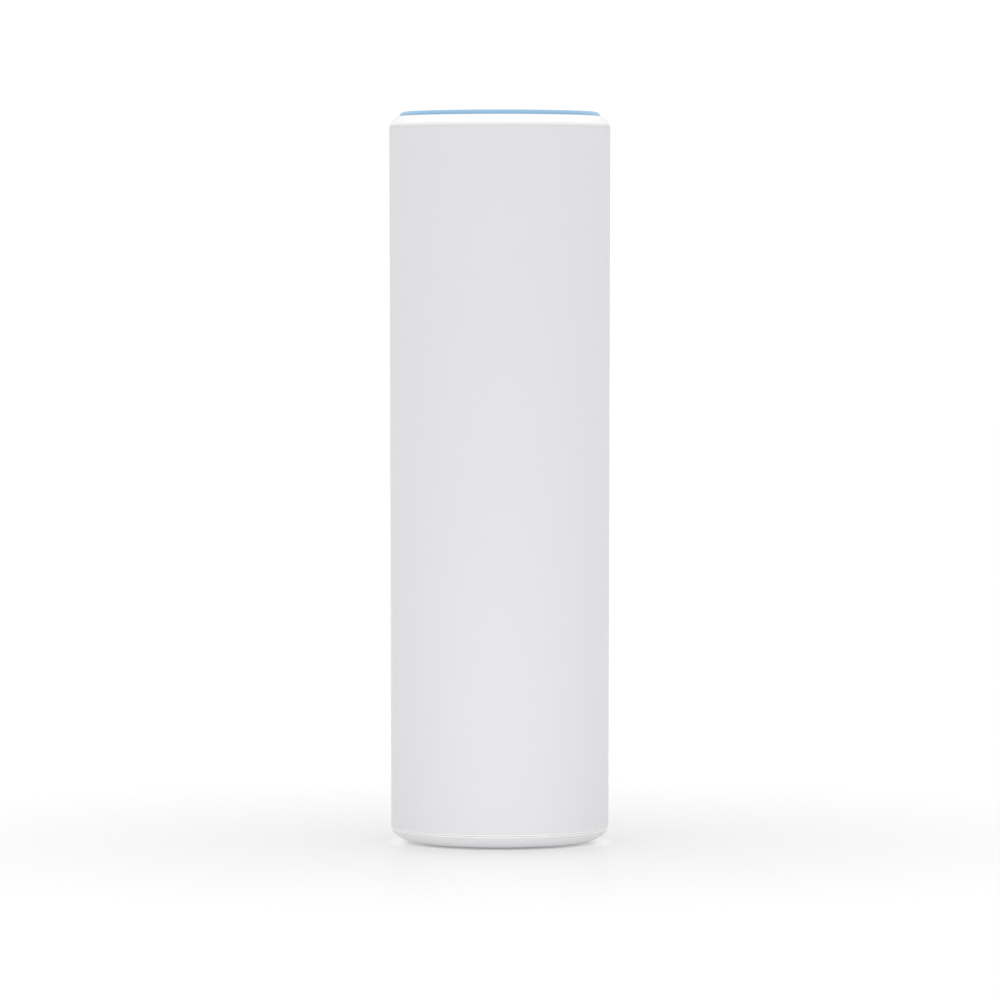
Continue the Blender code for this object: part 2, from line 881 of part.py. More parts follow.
def front_components():
    """Everything that stands on the board's front face above the jack."""
    on_board("inductor", -0.01225, 0.06425, 0.0065, 0.0065, 0.0040, FERRITE, edge=0.0008)
    on_board("lan_transformer", 0.0, 0.0665, 0.0126, 0.0120, 0.0055, CHIP_BLACK, edge=0.0005)
    on_board("memory_chip", -0.0095, 0.0840, 0.0080, 0.0100, 0.0010, CHIP_BLACK)
    for word, x, z in (("left", -0.0118, 0.0735), ("right", 0.0118, 0.0660)):
        face = BOARD_FRONT - GAP
        tip = face - CAPACITOR_LENGTH
        rod(
            f"capacitor_{word}",
            CAPACITOR_RADIUS,
            (x, face, z),
            (x, tip, z),
            CAN_SLEEVE,
            sides=20,
            edge=0.0004,
        )
    transformer()
    shield_can("processor_shield", 0.0190, 0.0175, 0.0030, 0.09825)
    shield_can("radio_shield", 0.0260, 0.0250, 0.0032, 0.1215)


# ---------------------------------------------------------------- jack and reset button


def ethernet_jack():
    """The plastic body with the plug's bay, its latch channel and the key notch."""
    half_width, half_depth = JACK_WIDTH / 2, JACK_DEPTH / 2
    centre_y, low, high = JACK_CENTRE_Y, JACK_LOW, JACK_LOW + JACK_LENGTH
    jack = block(
        "ethernet_jack",
        (-half_width, centre_y - half_depth, low),
        (half_width, centre_y + half_depth, high),
        CHIP_BLACK,
    )
    bay_top = low + PLUG_DEPTH
    below = low - 0.002
    half_plug = PLUG_WIDTH / 2
    half_latch, half_key = 0.0031, 0.0017
    bay_front, bay_back = centre_y - 0.0044, centre_y + 0.0024
    cut(
        jack,
        block("plug_bay", (-half_plug, bay_front, below), (half_plug, bay_back, bay_top)),
        block(
            "latch_channel",
            (-half_latch, bay_back - 0.0005, below),
            (half_latch, bay_back + 0.0017, bay_top - 0.0030),
        ),
        block("latch_key", (-half_key, bay_back, below), (half_key, bay_back + 0.0029, low + 0.0075)),
    )


def jack_shield():
    """The folded steel shell round the jack, open at the mouth."""
    half_width, half_depth = JACK_WIDTH / 2 + GAP, JACK_DEPTH / 2 + GAP
    low, high = JACK_LOW, JACK_LOW + JACK_LENGTH + GAP
    shell = block(
        "jack_shield",
        (-half_width - SHIELD_WALL, JACK_CENTRE_Y - half_depth - SHIELD_WALL, low),
        (half_width + SHIELD_WALL, JACK_CENTRE_Y + half_depth + SHIELD_WALL, high + SHIELD_WALL),
        TINNED_STEEL,
    )
    cut(
        shell,
        block(
            "shield_inside",
            (-half_width, JACK_CENTRE_Y - half_depth, low - 0.001),
            (half_width, JACK_CENTRE_Y + half_depth, high),
        ),
    )


def jack_contacts():
    """The comb of eight sprung contacts along the bay's front wall."""
    bar, tooth, reach, width = 0.0008, 0.00045, 0.0080, CONTACTS * CONTACT_PITCH
    points = [(-width / 2, bar), (-width / 2, 0.0)]
    for number in range(CONTACTS):
        centre = (number - (CONTACTS - 1) / 2) * CONTACT_PITCH
        left, right = centre - tooth / 2, centre + tooth / 2
        points += [(left, 0.0), (left, -reach), (right, -reach), (right, 0.0)]
    points += [(width / 2, 0.0), (width / 2, bar)]
    comb = flat_piece("jack_contacts", points, 0.0003, GOLD)
    comb.location = (0.0, JACK_CENTRE_Y - 0.0039, JACK_LOW + PLUG_DEPTH - bar - GAP)
    comb.rotation_euler.x = math.radians(90 + 8)


def reset_switch():
    """The side-pressed switch, its stem, and the plunger that reaches it through the ceiling."""
    housing = block(
        "tact_switch",
        (RESET_X - 0.0022, BOARD_BACK + GAP, SWITCH_LOW),
        (RESET_X + 0.0022, RESET_Y + 0.0019, SWITCH_HIGH),
        CHIP_BLACK,
    )
    stem_low, stem_high = SWITCH_LOW - 0.0016, SWITCH_LOW + 0.0006
    cavity_top = stem_high + RESET_TRAVEL + GAP
    cut(
        housing,
        rod(
            "stem_cavity",
            STEM_RADIUS + GAP,
            (RESET_X, RESET_Y, SWITCH_LOW - 0.001),
            (RESET_X, RESET_Y, cavity_top),
        ),
    )
    axis = bpy.data.objects.new("reset_press_axis", None)
    PARTS.objects.link(axis)
    axis.location = (RESET_X, RESET_Y, WELL_CEILING)
    stem = rod("switch_stem", STEM_RADIUS, (0, 0, stem_low), (0, 0, stem_high), INNER_PLASTIC, sides=12)
    tip = -RESET_TRAVEL
    flange_low = WELL_TOP - WELL_CEILING + GAP
    flange_high = stem_low - WELL_CEILING - GAP
    plunger = turned(
        "reset_button",
        [
            (0.0, flange_high),
            (RESET_RADIUS + 0.0009, flange_high),
            (RESET_RADIUS + 0.0009, flange_low),
            (RESET_RADIUS, flange_low),
            (RESET_RADIUS, tip + GAP),
            (RESET_RADIUS - GAP, tip),
            (0.0, tip),
        ],
        CHIP_BLACK,
        steps=24,
        closed=False,
    )
    stem.location.z -= WELL_CEILING
    for piece in (stem, plunger):
        piece.parent = axis


# ---------------------------------------------------------------- antennas and light module


def antenna_outline():
    """A stamped strip with a slot from one side and a tuning notch at the top."""
    half, length = ANTENNA_WIDTH / 2, ANTENNA_HIGH - ANTENNA_LOW
    slot_low, slot_high, notch = 0.30 * length, 0.38 * length, 0.0015
    return [
        (-half, 0.0),
        (half, 0.0),
        (half, slot_low),
        (-half / 2, slot_low),
        (-half / 2, slot_high),
        (half, slot_high),
        (half, length),
        (notch, length),
        (notch, 0.62 * length),
        (-notch, 0.62 * length),
        (-notch, length),
        (-half, length),
    ]


def antennas():
    """Four stamped antennas round two curved carriers that sit between the rails."""
    arc_block(
        "antenna_carrier_rear", CARRIER_INNER, CARRIER_OUTER, 14.2, 165.8, ANTENNA_LOW, ANTENNA_HIGH,
        INNER_PLASTIC, step=9.0,
    )
    arc_block(
        "antenna_carrier_front", CARRIER_INNER, CARRIER_OUTER, 188.5, 351.5, ANTENNA_LOW, ANTENNA_HIGH,
        INNER_PLASTIC, step=9.0,
    )
    radius = CARRIER_OUTER + GAP + ANTENNA_THICK / 2
    for number, angle in enumerate(ANTENNA_ANGLES, 1):
        strip = flat_piece(f"antenna_{number}", antenna_outline(), ANTENNA_THICK, BRASS)
        turn = math.radians(angle)
        strip.location = (radius * math.cos(turn), radius * math.sin(turn), ANTENNA_LOW)
        strip.rotation_euler = (math.radians(90), 0.0, turn + math.radians(90))
        antenna_lead(number, radius * math.cos(turn), radius * math.sin(turn))


def antenna_lead(number, foot_x, foot_y):
    """The thin coaxial lead from an antenna's foot to the board's edge."""
    side = math.copysign(1, foot_x)
    start = (foot_x, foot_y, ANTENNA_LOW - 2 * GAP)
    if foot_y > 0:
        route = [
            start,
            (foot_x, foot_y - 0.0004, 0.1122),
            (side * 0.0137, 0.0115, 0.1114),
            (side * 0.0133, 0.0075, 0.1114),
            (side * 0.0130, 0.0042, 0.1117),
            (side * 0.0130, BOARD_BACK + GAP, 0.1120),
        ]
    else:
        route = [
            start,
            (foot_x, foot_y + 0.0004, 0.1118),
            (side * 0.0143, -0.0115, 0.1098),
            (side * 0.0147, -0.0070, 0.1096),
            (side * 0.0148, -0.0030, 0.1108),
            (side * 0.0148, BOARD_FRONT - GAP, 0.1120),
        ]
    lead(f"antenna_lead_{number}", route, LEAD_RADIUS, LEAD_GREY)


def light_module():
    """The ring-shaped LED board, its LEDs, the white baffle and the lead to the main board."""
    board_outer = HOOP_OUTER
    turned(
        "led_board",
        [
            (LED_BOARD_INNER, LED_BOARD_HIGH),
            (board_outer, LED_BOARD_HIGH),
            (board_outer, LED_BOARD_LOW),
            (LED_BOARD_INNER, LED_BOARD_LOW),
        ],
        BOARD_WHITE,
        steps=INNER_STEPS,
    )
    led_low = LED_BOARD_HIGH + GAP
    for number in range(1, LED_COUNT + 1):
        angle = math.tau * (number - 0.5) / LED_COUNT
        led = block(f"led_{number}", (-0.0008, -0.0010, 0.0), (0.0008, 0.0010, 0.0006), LED_YELLOW)
        led.location = (LED_CIRCLE * math.cos(angle), LED_CIRCLE * math.sin(angle), led_low + 0.0003)
        led.rotation_euler.z = angle
    turned(
        "light_baffle",
        [
            (BAFFLE_INNER, BEZEL_SEAT),
            (BAFFLE_OUTER, BEZEL_SEAT),
            (BAFFLE_OUTER, led_low),
            (BAFFLE_INNER, led_low),
        ],
        BRIGHT_PLASTIC,
        steps=INNER_STEPS,
    )
    middle = (LED_BOARD_LOW + LED_BOARD_HIGH) / 2
    lead(
        "led_lead",
        [
            (0.0, GAP - LED_BOARD_INNER, middle),
            (0.0, -0.0125, middle),
            (0.0, -0.0104, 0.1502),
            (0.0, -0.0092, 0.1484),
            (0.0, -0.0078, 0.1450),
            (0.0, -0.0050, 0.1402),
            (0.0, -0.0020, 0.1382),
            (0.0, BOARD_FRONT - GAP, 0.1380),
        ],
        0.0006,
        LEAD_GREY,
    )


def main():
    """Builds the node from the outside in."""
    outer_tube()
    top_bezel()
    light_ring()
    top_cap()
    base_cap()
    foot_pad()
    base_seal()
    connector_well()
    core_frame()
    main_board()
    heat_sink()
    cooled_chip("processor", 0.0140, 0.0780)
    cooled_chip("radio_chip_upper", 0.0090, 0.0970)
    cooled_chip("radio_chip_lower", 0.0080, 0.0620)
    front_components()
    ethernet_jack()
    jack_shield()
    jack_contacts()
    reset_switch()
    antennas()
    light_module()
    hang_on_axes()


main()
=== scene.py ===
"""Looks for a slim round mesh wifi node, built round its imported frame.

Metres, +Z up, the plain front towards -Y and the cable opening towards +Y. Every shape is a numpy
surface; every finish is a set of shader nodes on object coordinates.
"""

from __future__ import annotations

import logging
import math
from dataclasses import dataclass, field
from enum import Enum
from typing import Mapping, Sequence, Union

import bmesh
import bpy
import numpy as np
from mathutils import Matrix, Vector


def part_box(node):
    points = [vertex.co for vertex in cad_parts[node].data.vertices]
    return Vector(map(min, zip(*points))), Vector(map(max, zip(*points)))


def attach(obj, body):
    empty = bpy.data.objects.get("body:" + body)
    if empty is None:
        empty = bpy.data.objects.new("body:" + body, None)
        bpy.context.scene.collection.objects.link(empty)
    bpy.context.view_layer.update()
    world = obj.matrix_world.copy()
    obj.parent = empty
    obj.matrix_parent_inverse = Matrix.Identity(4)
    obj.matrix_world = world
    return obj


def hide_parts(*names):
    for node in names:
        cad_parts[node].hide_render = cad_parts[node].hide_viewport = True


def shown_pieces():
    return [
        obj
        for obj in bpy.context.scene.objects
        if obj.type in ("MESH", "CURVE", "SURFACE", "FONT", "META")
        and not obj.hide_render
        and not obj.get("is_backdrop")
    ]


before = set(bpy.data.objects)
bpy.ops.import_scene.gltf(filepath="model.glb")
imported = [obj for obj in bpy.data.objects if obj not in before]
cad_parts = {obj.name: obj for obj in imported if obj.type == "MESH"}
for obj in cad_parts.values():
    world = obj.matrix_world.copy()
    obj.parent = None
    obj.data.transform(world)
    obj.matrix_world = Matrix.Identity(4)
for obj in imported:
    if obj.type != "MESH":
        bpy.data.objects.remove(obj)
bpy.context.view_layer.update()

log = logging.getLogger("wifi_node")

Array = np.ndarray
Colour = tuple[float, float, float]
MM = 0.001
GAP = 0.3 * MM  # the clearance between neighbouring pieces
LUGS = (30.0, 150.0, 270.0)  # the bayonet's three places round the axis, in degrees
SHARP_DEGREES = 38.0  # edges that turn by more than this stay crisp
LEFT_RIGHT = ((-1, "left"), (1, "right"))


class Body(Enum):
    """The frame's moving bodies."""

    FOOT = "foot"
    SEAL = "seal"
    CASING = "casing"
    BUTTON = "button"


class Slot(Enum):
    """The record's material slots."""

    WHITE_SHELL = "white_shell"
    BRIGHT_SHELL = "bright_shell"
    LIT_RING = "lit_ring"
    SOFT_RUBBER = "soft_rubber"
    INNER_PLASTIC = "inner_plastic"
    CIRCUIT_BOARD = "circuit_board"
    WHITE_BOARD = "white_board"
    CHIP_BLACK = "chip_black"
    CAST_ALUMINIUM = "cast_aluminium"
    TINNED_STEEL = "tinned_steel"
    SCREW_STEEL = "screw_steel"
    GOLD_CONTACTS = "gold_contacts"
    ANTENNA_BRASS = "antenna_brass"
    THERMAL_PAD = "thermal_pad"
    FERRITE = "ferrite"
    WINDING_TAPE = "winding_tape"
    CAN_SLEEVE = "can_sleeve"
    LEAD_SHEATH = "lead_sheath"
    LED_LENS = "led_lens"


# ------------------------------------------------------------------------------- surfaces


def lattice(rows: int, columns: int, wrap_rows: bool, wrap_columns: bool) -> Array:
    """Corner numbers of a grid's cells, each going along its row, up, and back.

    Args:
        rows: Points up the grid.
        columns: Points along each row.
        wrap_rows: Whether the last row meets the first.
        wrap_columns: Whether each row closes on itself.

    Returns:
        One row of four corner numbers for each cell.
    """
    up, along = np.meshgrid(
        np.arange(rows if wrap_rows else rows - 1),
        np.arange(columns if wrap_columns else columns - 1),
        indexing="ij",
    )
    next_up, next_along = (up + 1) % rows, (along + 1) % columns
    corners = (
        up * columns + along,
        up * columns + next_along,
        next_up * columns + next_along,
        next_up * columns + along,
    )
    return np.stack(corners, axis=-1).reshape(-1, 4)


@dataclass
class Skin:
    """A closed surface held as whole arrays.

    Args:
        points: Corner positions in metres, one row each.
        faces: Corner numbers, four to a row; a triangle repeats its last corner.
    """

    points: Array
    faces: Array

    @classmethod
    def of_grid(cls, points: Array, wrap_rows: bool, wrap_columns: bool = True) -> Skin:
        """A skin from a grid of points.

        Args:
            points: Positions, shaped rows by columns by 3.
            wrap_rows: Whether the last row meets the first.
            wrap_columns: Whether each row closes on itself.

        Returns:
            The skin, facing outwards.
        """
        rows, columns = points.shape[:2]
        made = cls(points.reshape(-1, 3), lattice(rows, columns, wrap_rows, wrap_columns))
        return made.facing_out()

    def facing_out(self) -> Skin:
        """Turns the faces over if the volume they enclose is negative."""
        a, b, c, d = (self.points[self.faces[:, i]] for i in range(4))
        volume = np.einsum("ij,ij->", a, np.cross(b, c)) + np.einsum("ij,ij->", a, np.cross(c, d))
        if volume >= 0:
            return self
        turned_over = self.faces[:, [2, 1, 0, 3]]
        triangle = self.faces[:, 2] == self.faces[:, 3]
        turned_over[triangle] = self.faces[triangle][:, [1, 0, 2, 2]]
        return Skin(self.points, turned_over)

    def __add__(self, other: Skin) -> Skin:
        """Both skins as one set of arrays."""
        faces = np.vstack([self.faces, other.faces + len(self.points)])
        return Skin(np.vstack([self.points, other.points]), faces)

    def moved(self, x: float = 0.0, y: float = 0.0, z: float = 0.0) -> Skin:
        """The skin shifted by that much."""
        return Skin(self.points + np.array([x, y, z]), self.faces)

    def turned(self, axis: str, degrees: float) -> Skin:
        """Turns the skin about an axis through the origin.

        Args:
            axis: "X", "Y" or "Z".
            degrees: Angle, counter-clockwise seen from the axis's far end.

        Returns:
            The turned skin.
        """
        cosine, sine = math.cos(math.radians(degrees)), math.sin(math.radians(degrees))
        first, second = {"X": (1, 2), "Y": (2, 0), "Z": (0, 1)}[axis]
        points = self.points.copy()
        points[:, first] = cosine * self.points[:, first] - sine * self.points[:, second]
        points[:, second] = sine * self.points[:, first] + cosine * self.points[:, second]
        return Skin(points, self.faces)

    def mesh(self, name: str) -> bpy.types.Mesh:
        """A mesh with shared seams and poles.

        Args:
            name: The mesh's name.

        Returns:
            The mesh, its doubled points merged.
        """
        triangle = self.faces[:, 2] == self.faces[:, 3]
        faces = self.faces[~triangle].tolist() + self.faces[triangle][:, :3].tolist()
        mesh = bpy.data.meshes.new(name)
        mesh.from_pydata(self.points.tolist(), [], faces)
        work = bmesh.new()
        work.from_mesh(mesh)
        bmesh.ops.remove_doubles(work, verts=work.verts, dist=1e-7)
        work.to_mesh(mesh)
        work.free()
        return mesh


def joined(name: str, base: Skin, added: Sequence[Skin] = (), cut: Sequence[Skin] = ()) -> bpy.types.Mesh:
    """One body from a base skin, skins joined to it and skins cut away from it.

    Args:
        name: The mesh's name.
        base: What the piece starts from.
        added: Closed skins that overlap the base.
        cut: Closed skins taken out afterwards.

    Returns:
        The finished mesh.
    """
    host = bpy.data.objects.new(name, base.mesh(name))
    bpy.context.scene.collection.objects.link(host)
    helpers = []
    for number, (skin, operation) in enumerate(
        [*((skin, "UNION") for skin in added), *((skin, "DIFFERENCE") for skin in cut)]
    ):
        helper = bpy.data.objects.new(f"{name}_helper_{number}", skin.mesh(f"{name}_helper"))
        bpy.context.scene.collection.objects.link(helper)
        helpers.append(helper)
        step = host.modifiers.new(helper.name, "BOOLEAN")
        step.operation, step.solver, step.object = operation, "EXACT", helper
    bpy.context.view_layer.update()
    graph = bpy.context.evaluated_depsgraph_get()
    mesh = bpy.data.meshes.new_from_object(host.evaluated_get(graph))
    for used in [host, *helpers]:
        bpy.data.objects.remove(used, do_unlink=True)
    return mesh


def ellipse_arc(
    centre: tuple[float, float],
    half_width: float,
    half_height: float,
    start: float,
    end: float,
    steps: int,
    power: float = 2.0,
) -> Array:
    """Points along a superellipse: its centre plus its half axes times the cosine and sine of even
    angles, each with its size raised to 2 over the power and its sign kept.

    Args:
        centre: Where its axes cross.
        half_width: Half its width.
        half_height: Half its height.
        start: First angle in degrees.
        end: Last angle in degrees.
        steps: Stretches between the two.
        power: 2 for an ellipse; towards 1 its quarters flatten into chamfers.

    Returns:
        Points, one row each.
    """
    angle = np.radians(np.linspace(start, end, steps + 1))
    unit = np.column_stack([np.cos(angle), np.sin(angle)])
    return np.array(centre) + np.sign(unit) * np.abs(unit) ** (2 / power) * (half_width, half_height)


def soften(corners: Sequence[tuple[float, float, float]], steps: int = 4, closed: bool = True) -> Array:
    """Rounds an outline: each corner becomes an arc of its radius that touches both its sides.

    Args:
        corners: Each corner as across, up and radius; radius 0 stays sharp.
        steps: Stretches in each arc.
        closed: Whether the last corner runs on to the first.

    Returns:
        Points, one row each.
    """
    table = np.array(corners, float)
    places, radii, found = table[:, :2], table[:, 2], []
    count = len(places)
    for number, (corner, radius) in enumerate(zip(places, radii)):
        at_end = not closed and number in (0, count - 1)
        if radius <= 0 or at_end:
            found.append(corner[None])
            continue
        back, ahead = places[number - 1] - corner, places[(number + 1) % count] - corner
        back, ahead = back / np.linalg.norm(back), ahead / np.linalg.norm(ahead)
        half = math.acos(float(np.clip(back @ ahead, -1.0, 1.0))) / 2
        middle = (back + ahead) / np.linalg.norm(back + ahead)
        centre = corner + middle * radius / math.sin(half)
        reach = radius / math.tan(half)
        first, last = corner + back * reach - centre, corner + ahead * reach - centre
        spread = math.acos(float(np.clip(first @ last / radius**2, -1.0, 1.0)))
        share = np.linspace(0.0, 1.0, steps + 1)[:, None]
        arc = (np.sin((1 - share) * spread) * first + np.sin(share * spread) * last) / math.sin(spread)
        found.append(centre + arc)
    return np.vstack(found)


def polar(radius: Array | float, angle: Array, height: Array | float) -> Array:
    """Points (r cos a, r sin a, h), with the three spread over one another's shapes.

    Args:
        radius: Distances from Z.
        angle: Angles in radians.
        height: Heights.

    Returns:
        Points, with x, y and z along a new last axis.
    """
    return np.stack(np.broadcast_arrays(radius * np.cos(angle), radius * np.sin(angle), height), axis=-1)


def turn(profile: Array, around: int) -> Skin:
    """Turns a profile about Z: (r, h) goes to (r cos a, r sin a, h) for evenly spaced a.

    Args:
        profile: Points of radius and height; both ends on the axis, or else it closes on itself.
        around: Columns round the axis.

    Returns:
        The turned skin.
    """
    angle = np.linspace(0.0, math.tau, around, endpoint=False)
    on_axis = abs(profile[0, 0]) < 1e-9 and abs(profile[-1, 0]) < 1e-9
    return Skin.of_grid(polar(profile[:, :1], angle, profile[:, 1:]), wrap_rows=not on_axis)


def turned_solid(corners: Sequence[tuple[float, float, float]], around: int, steps: int = 4) -> Skin:
    """A solid of revolution from an outline that starts and ends on the axis.

    Args:
        corners: Each corner as radius, height and corner radius.
        around: Columns round the axis.
        steps: Stretches in each round corner.

    Returns:
        The solid's skin.
    """
    return turn(soften(corners, steps, closed=False), around)


def turned_ring(inner: float, outer: float, low: float, high: float, edge: float, around: int = 160) -> Skin:
    """A flat-faced ring with round edges.

    Args:
        inner: Inner radius.
        outer: Outer radius.
        low: Lower face.
        high: Upper face.
        edge: Edge radius.
        around: Columns round the axis.

    Returns:
        The ring's skin.
    """
    corners = ((inner, high), (inner, low), (outer, low), (outer, high))
    return turn(soften([(*corner, edge) for corner in corners]), around)


def rounded_rectangle(width: float, height: float, corner: float, steps: int = 3) -> Array:
    """A rectangle about the origin with round corners, counter-clockwise.

    Args:
        width: Its size across.
        height: Its size up.
        corner: Corner radius.
        steps: Stretches in each corner.

    Returns:
        Points, one row each.
    """
    half_width, half_height = width / 2, height / 2
    signs = ((1, 1), (-1, 1), (-1, -1), (1, -1))
    return soften([(sx * half_width, sy * half_height, corner) for sx, sy in signs], steps)


def rounded_box(low: Sequence[float], high: Sequence[float], edge: float, steps: int = 3) -> Skin:
    """A box whose edges and corners are round.

    A sphere's octants are pulled apart: each point is its octant's corner of the box, drawn in by
    the edge radius, plus the edge radius times the sphere's normal. Both ends close on a middle point.

    Args:
        low: Lowest corner.
        high: Highest corner.
        edge: Edge radius.
        steps: Stretches across each round edge.

    Returns:
        The box's skin.
    """
    low, high = np.array(low, float), np.array(high, float)
    centre, half = (low + high) / 2, (high - low) / 2
    quarter = np.radians(np.linspace(0.0, 90.0, steps + 1))
    around = np.concatenate([quarter + k * math.pi / 2 for k in range(4)])
    sign_x = np.repeat([1.0, -1.0, -1.0, 1.0], steps + 1)
    sign_y = np.repeat([1.0, 1.0, -1.0, -1.0], steps + 1)
    rise = np.concatenate([quarter - math.pi / 2, quarter])
    sign_z = np.repeat([-1.0, 1.0], steps + 1)
    normal = polar(np.cos(rise)[:, None], around, np.sin(rise)[:, None])
    signs = np.stack(np.broadcast_arrays(sign_x, sign_y, sign_z[:, None]), axis=-1)
    points = centre + signs * (half - edge) + edge * normal
    floor, roof = (np.tile([*centre[:2], height], (1, len(around), 1)) for height in (low[2], high[2]))
    return Skin.of_grid(np.concatenate([floor, points, roof]), wrap_rows=False)


def arc_bar(
    inner: float,
    outer: float,
    low: float,
    high: float,
    start: float,
    end: float,
    edge: float,
    step: float = 2.0,
) -> Skin:
    """A bar bent round Z: a rounded rectangle carried along an arc, drawn in round at both ends.

    Args:
        inner: Inner radius.
        outer: Outer radius.
        low: Lowest height.
        high: Highest height.
        start: First angle in degrees.
        end: Last angle in degrees.
        edge: Edge radius.
        step: Degrees between rows.

    Returns:
        The bar's skin.
    """
    middle = (inner + outer) / 2
    lean = np.radians([90.0, 60.0, 30.0, 0.0])
    inset, back = edge * (1 - np.cos(lean)), np.degrees(edge * (1 - np.sin(lean)) / middle)
    edge_turn = math.degrees(edge / middle)
    run = np.linspace(start + edge_turn, end - edge_turn, max(2, round((end - start) / step)))
    angles = np.concatenate([[start], start + back[:-1], run, (end - back[:-1])[::-1], [end]])
    insets = np.concatenate([[0.0], inset[:-1], 0 * run, inset[:-1][::-1], [0.0]])
    size = np.ones_like(angles)
    size[0] = size[-1] = 0.0
    width, height = outer - inner, high - low
    section = rounded_rectangle(width, height, edge)
    scale_across, scale_up = 1 - 2 * insets / width, 1 - 2 * insets / height
    radius = middle + size[:, None] * scale_across[:, None] * section[:, 0]
    rise = (low + high) / 2 + size[:, None] * scale_up[:, None] * section[:, 1]
    return Skin.of_grid(polar(radius, np.radians(angles)[:, None], rise), wrap_rows=False)


def sweep(section: Array, path: Array, up: Sequence[float], size: Array | None = None) -> Skin:
    """Carries a section along a path and closes both ends on a point.

    The section's first axis lies along path x up, its second along that cross product x path.

    Args:
        section: Closed outline, one point to a row.
        path: Points in space, one to a row.
        up: A direction that the path never runs along.
        size: The section's scale at each point of the path.

    Returns:
        The swept skin.
    """
    ahead = np.gradient(path, axis=0)
    ahead /= np.linalg.norm(ahead, axis=1, keepdims=True)
    side = np.cross(ahead, np.array(up, float))
    side /= np.linalg.norm(side, axis=1, keepdims=True)
    rise = np.cross(side, ahead)
    scale = np.ones(len(path)) if size is None else size
    rings = path[:, None] + scale[:, None, None] * (
        section[None, :, :1] * side[:, None] + section[None, :, 1:] * rise[:, None]
    )
    first, last = np.broadcast_to(path[0], rings[:1].shape), np.broadcast_to(path[-1], rings[:1].shape)
    return Skin.of_grid(np.concatenate([first, rings, last]), wrap_rows=False)


def circle(radius: float, sides: int = 16) -> Array:
    """A round section."""
    return ellipse_arc((0.0, 0.0), radius, radius, 0.0, 360.0 * (sides - 1) / sides, sides - 1)


def smooth_route(points: Sequence[Sequence[float]], between: int = 8) -> Array:
    """A Catmull-Rom curve: each stretch is the cubic through two points with their neighbours' slopes.

    Args:
        points: What the curve passes through.
        between: Steps in each stretch.

    Returns:
        Points along the curve, one row each.
    """
    given = np.array(points, float)
    ends = np.vstack([2 * given[0] - given[1], given, 2 * given[-1] - given[-2]])
    a, b, c, d = (ends[k : len(ends) - 3 + k, None] for k in range(4))
    t = np.linspace(0.0, 1.0, between, endpoint=False)[None, :, None]
    curve = b + 0.5 * t * (c - a + t * (2 * a - 5 * b + 4 * c - d + t * (3 * (b - c) + d - a)))
    return np.vstack([curve.reshape(-1, 3), given[-1]])


# ------------------------------------------------------------------------------- shader maths


class Flow:
    """One output of a shader node; arithmetic on it adds Math nodes."""

    def __init__(self, bench: Bench, socket: bpy.types.NodeSocket) -> None:
        """Wraps a socket of a bench's tree."""
        self.bench, self.socket = bench, socket

    def maths(self, operation: str, *others: Feed, first: Feed | None = None) -> Flow:
        """Adds one Math node.

        Args:
            operation: The node's operation.
            others: What follows this value.
            first: What stands before it, for the reflected forms.

        Returns:
            The result.
        """
        values = [self, *others] if first is None else [first, self, *others]
        return self.bench.make("ShaderNodeMath", {"operation": operation}, dict(enumerate(values)))

    def __add__(self, other: Feed) -> Flow:
        """This plus other."""
        return self.maths("ADD", other)

    def __radd__(self, other: Feed) -> Flow:
        """Other plus this."""
        return self.maths("ADD", first=other)

    def __sub__(self, other: Feed) -> Flow:
        """This minus other."""
        return self.maths("SUBTRACT", other)

    def __rsub__(self, other: Feed) -> Flow:
        """Other minus this."""
        return self.maths("SUBTRACT", first=other)

    def __mul__(self, other: Feed) -> Flow:
        """This times other."""
        return self.maths("MULTIPLY", other)

    def __rmul__(self, other: Feed) -> Flow:
        """Other times this."""
        return self.maths("MULTIPLY", first=other)

    def __truediv__(self, other: Feed) -> Flow:
        """This over other."""
        return self.maths("DIVIDE", other)

    def __rtruediv__(self, other: Feed) -> Flow:
        """Other over this."""
        return self.maths("DIVIDE", first=other)

    def __pow__(self, other: Feed) -> Flow:
        """This to the power of other."""
        return self.maths("POWER", other)

    def above(self, limit: Feed) -> Flow:
        """1 where this is over the limit, else 0."""
        return self.maths("GREATER_THAN", limit)

    def below(self, limit: Feed) -> Flow:
        """1 where this is under the limit, else 0."""
        return self.maths("LESS_THAN", limit)

    def size(self) -> Flow:
        """The value without its sign."""
        return self.maths("ABSOLUTE")

    def part(self) -> Flow:
        """What is left after the whole number."""
        return self.maths("FRACT")

    def whole(self) -> Flow:
        """The whole number below."""
        return self.maths("FLOOR")

    def wave(self) -> Flow:
        """The sine."""
        return self.maths("SINE")

    def most(self, other: Feed) -> Flow:
        """The larger of two."""
        return self.maths("MAXIMUM", other)

    def ramp(self, low: float, high: float) -> Flow:
        """A smooth step that goes from 0 at low to 1 at high, or down if high is the smaller."""
        settings = {"interpolation_type": "SMOOTHSTEP"}
        if low < high:
            return self.bench.make("ShaderNodeMapRange", settings, {0: self, 1: low, 2: high})
        return 1 - self.bench.make("ShaderNodeMapRange", settings, {0: self, 1: high, 2: low})


Feed = Union[Flow, float, tuple]


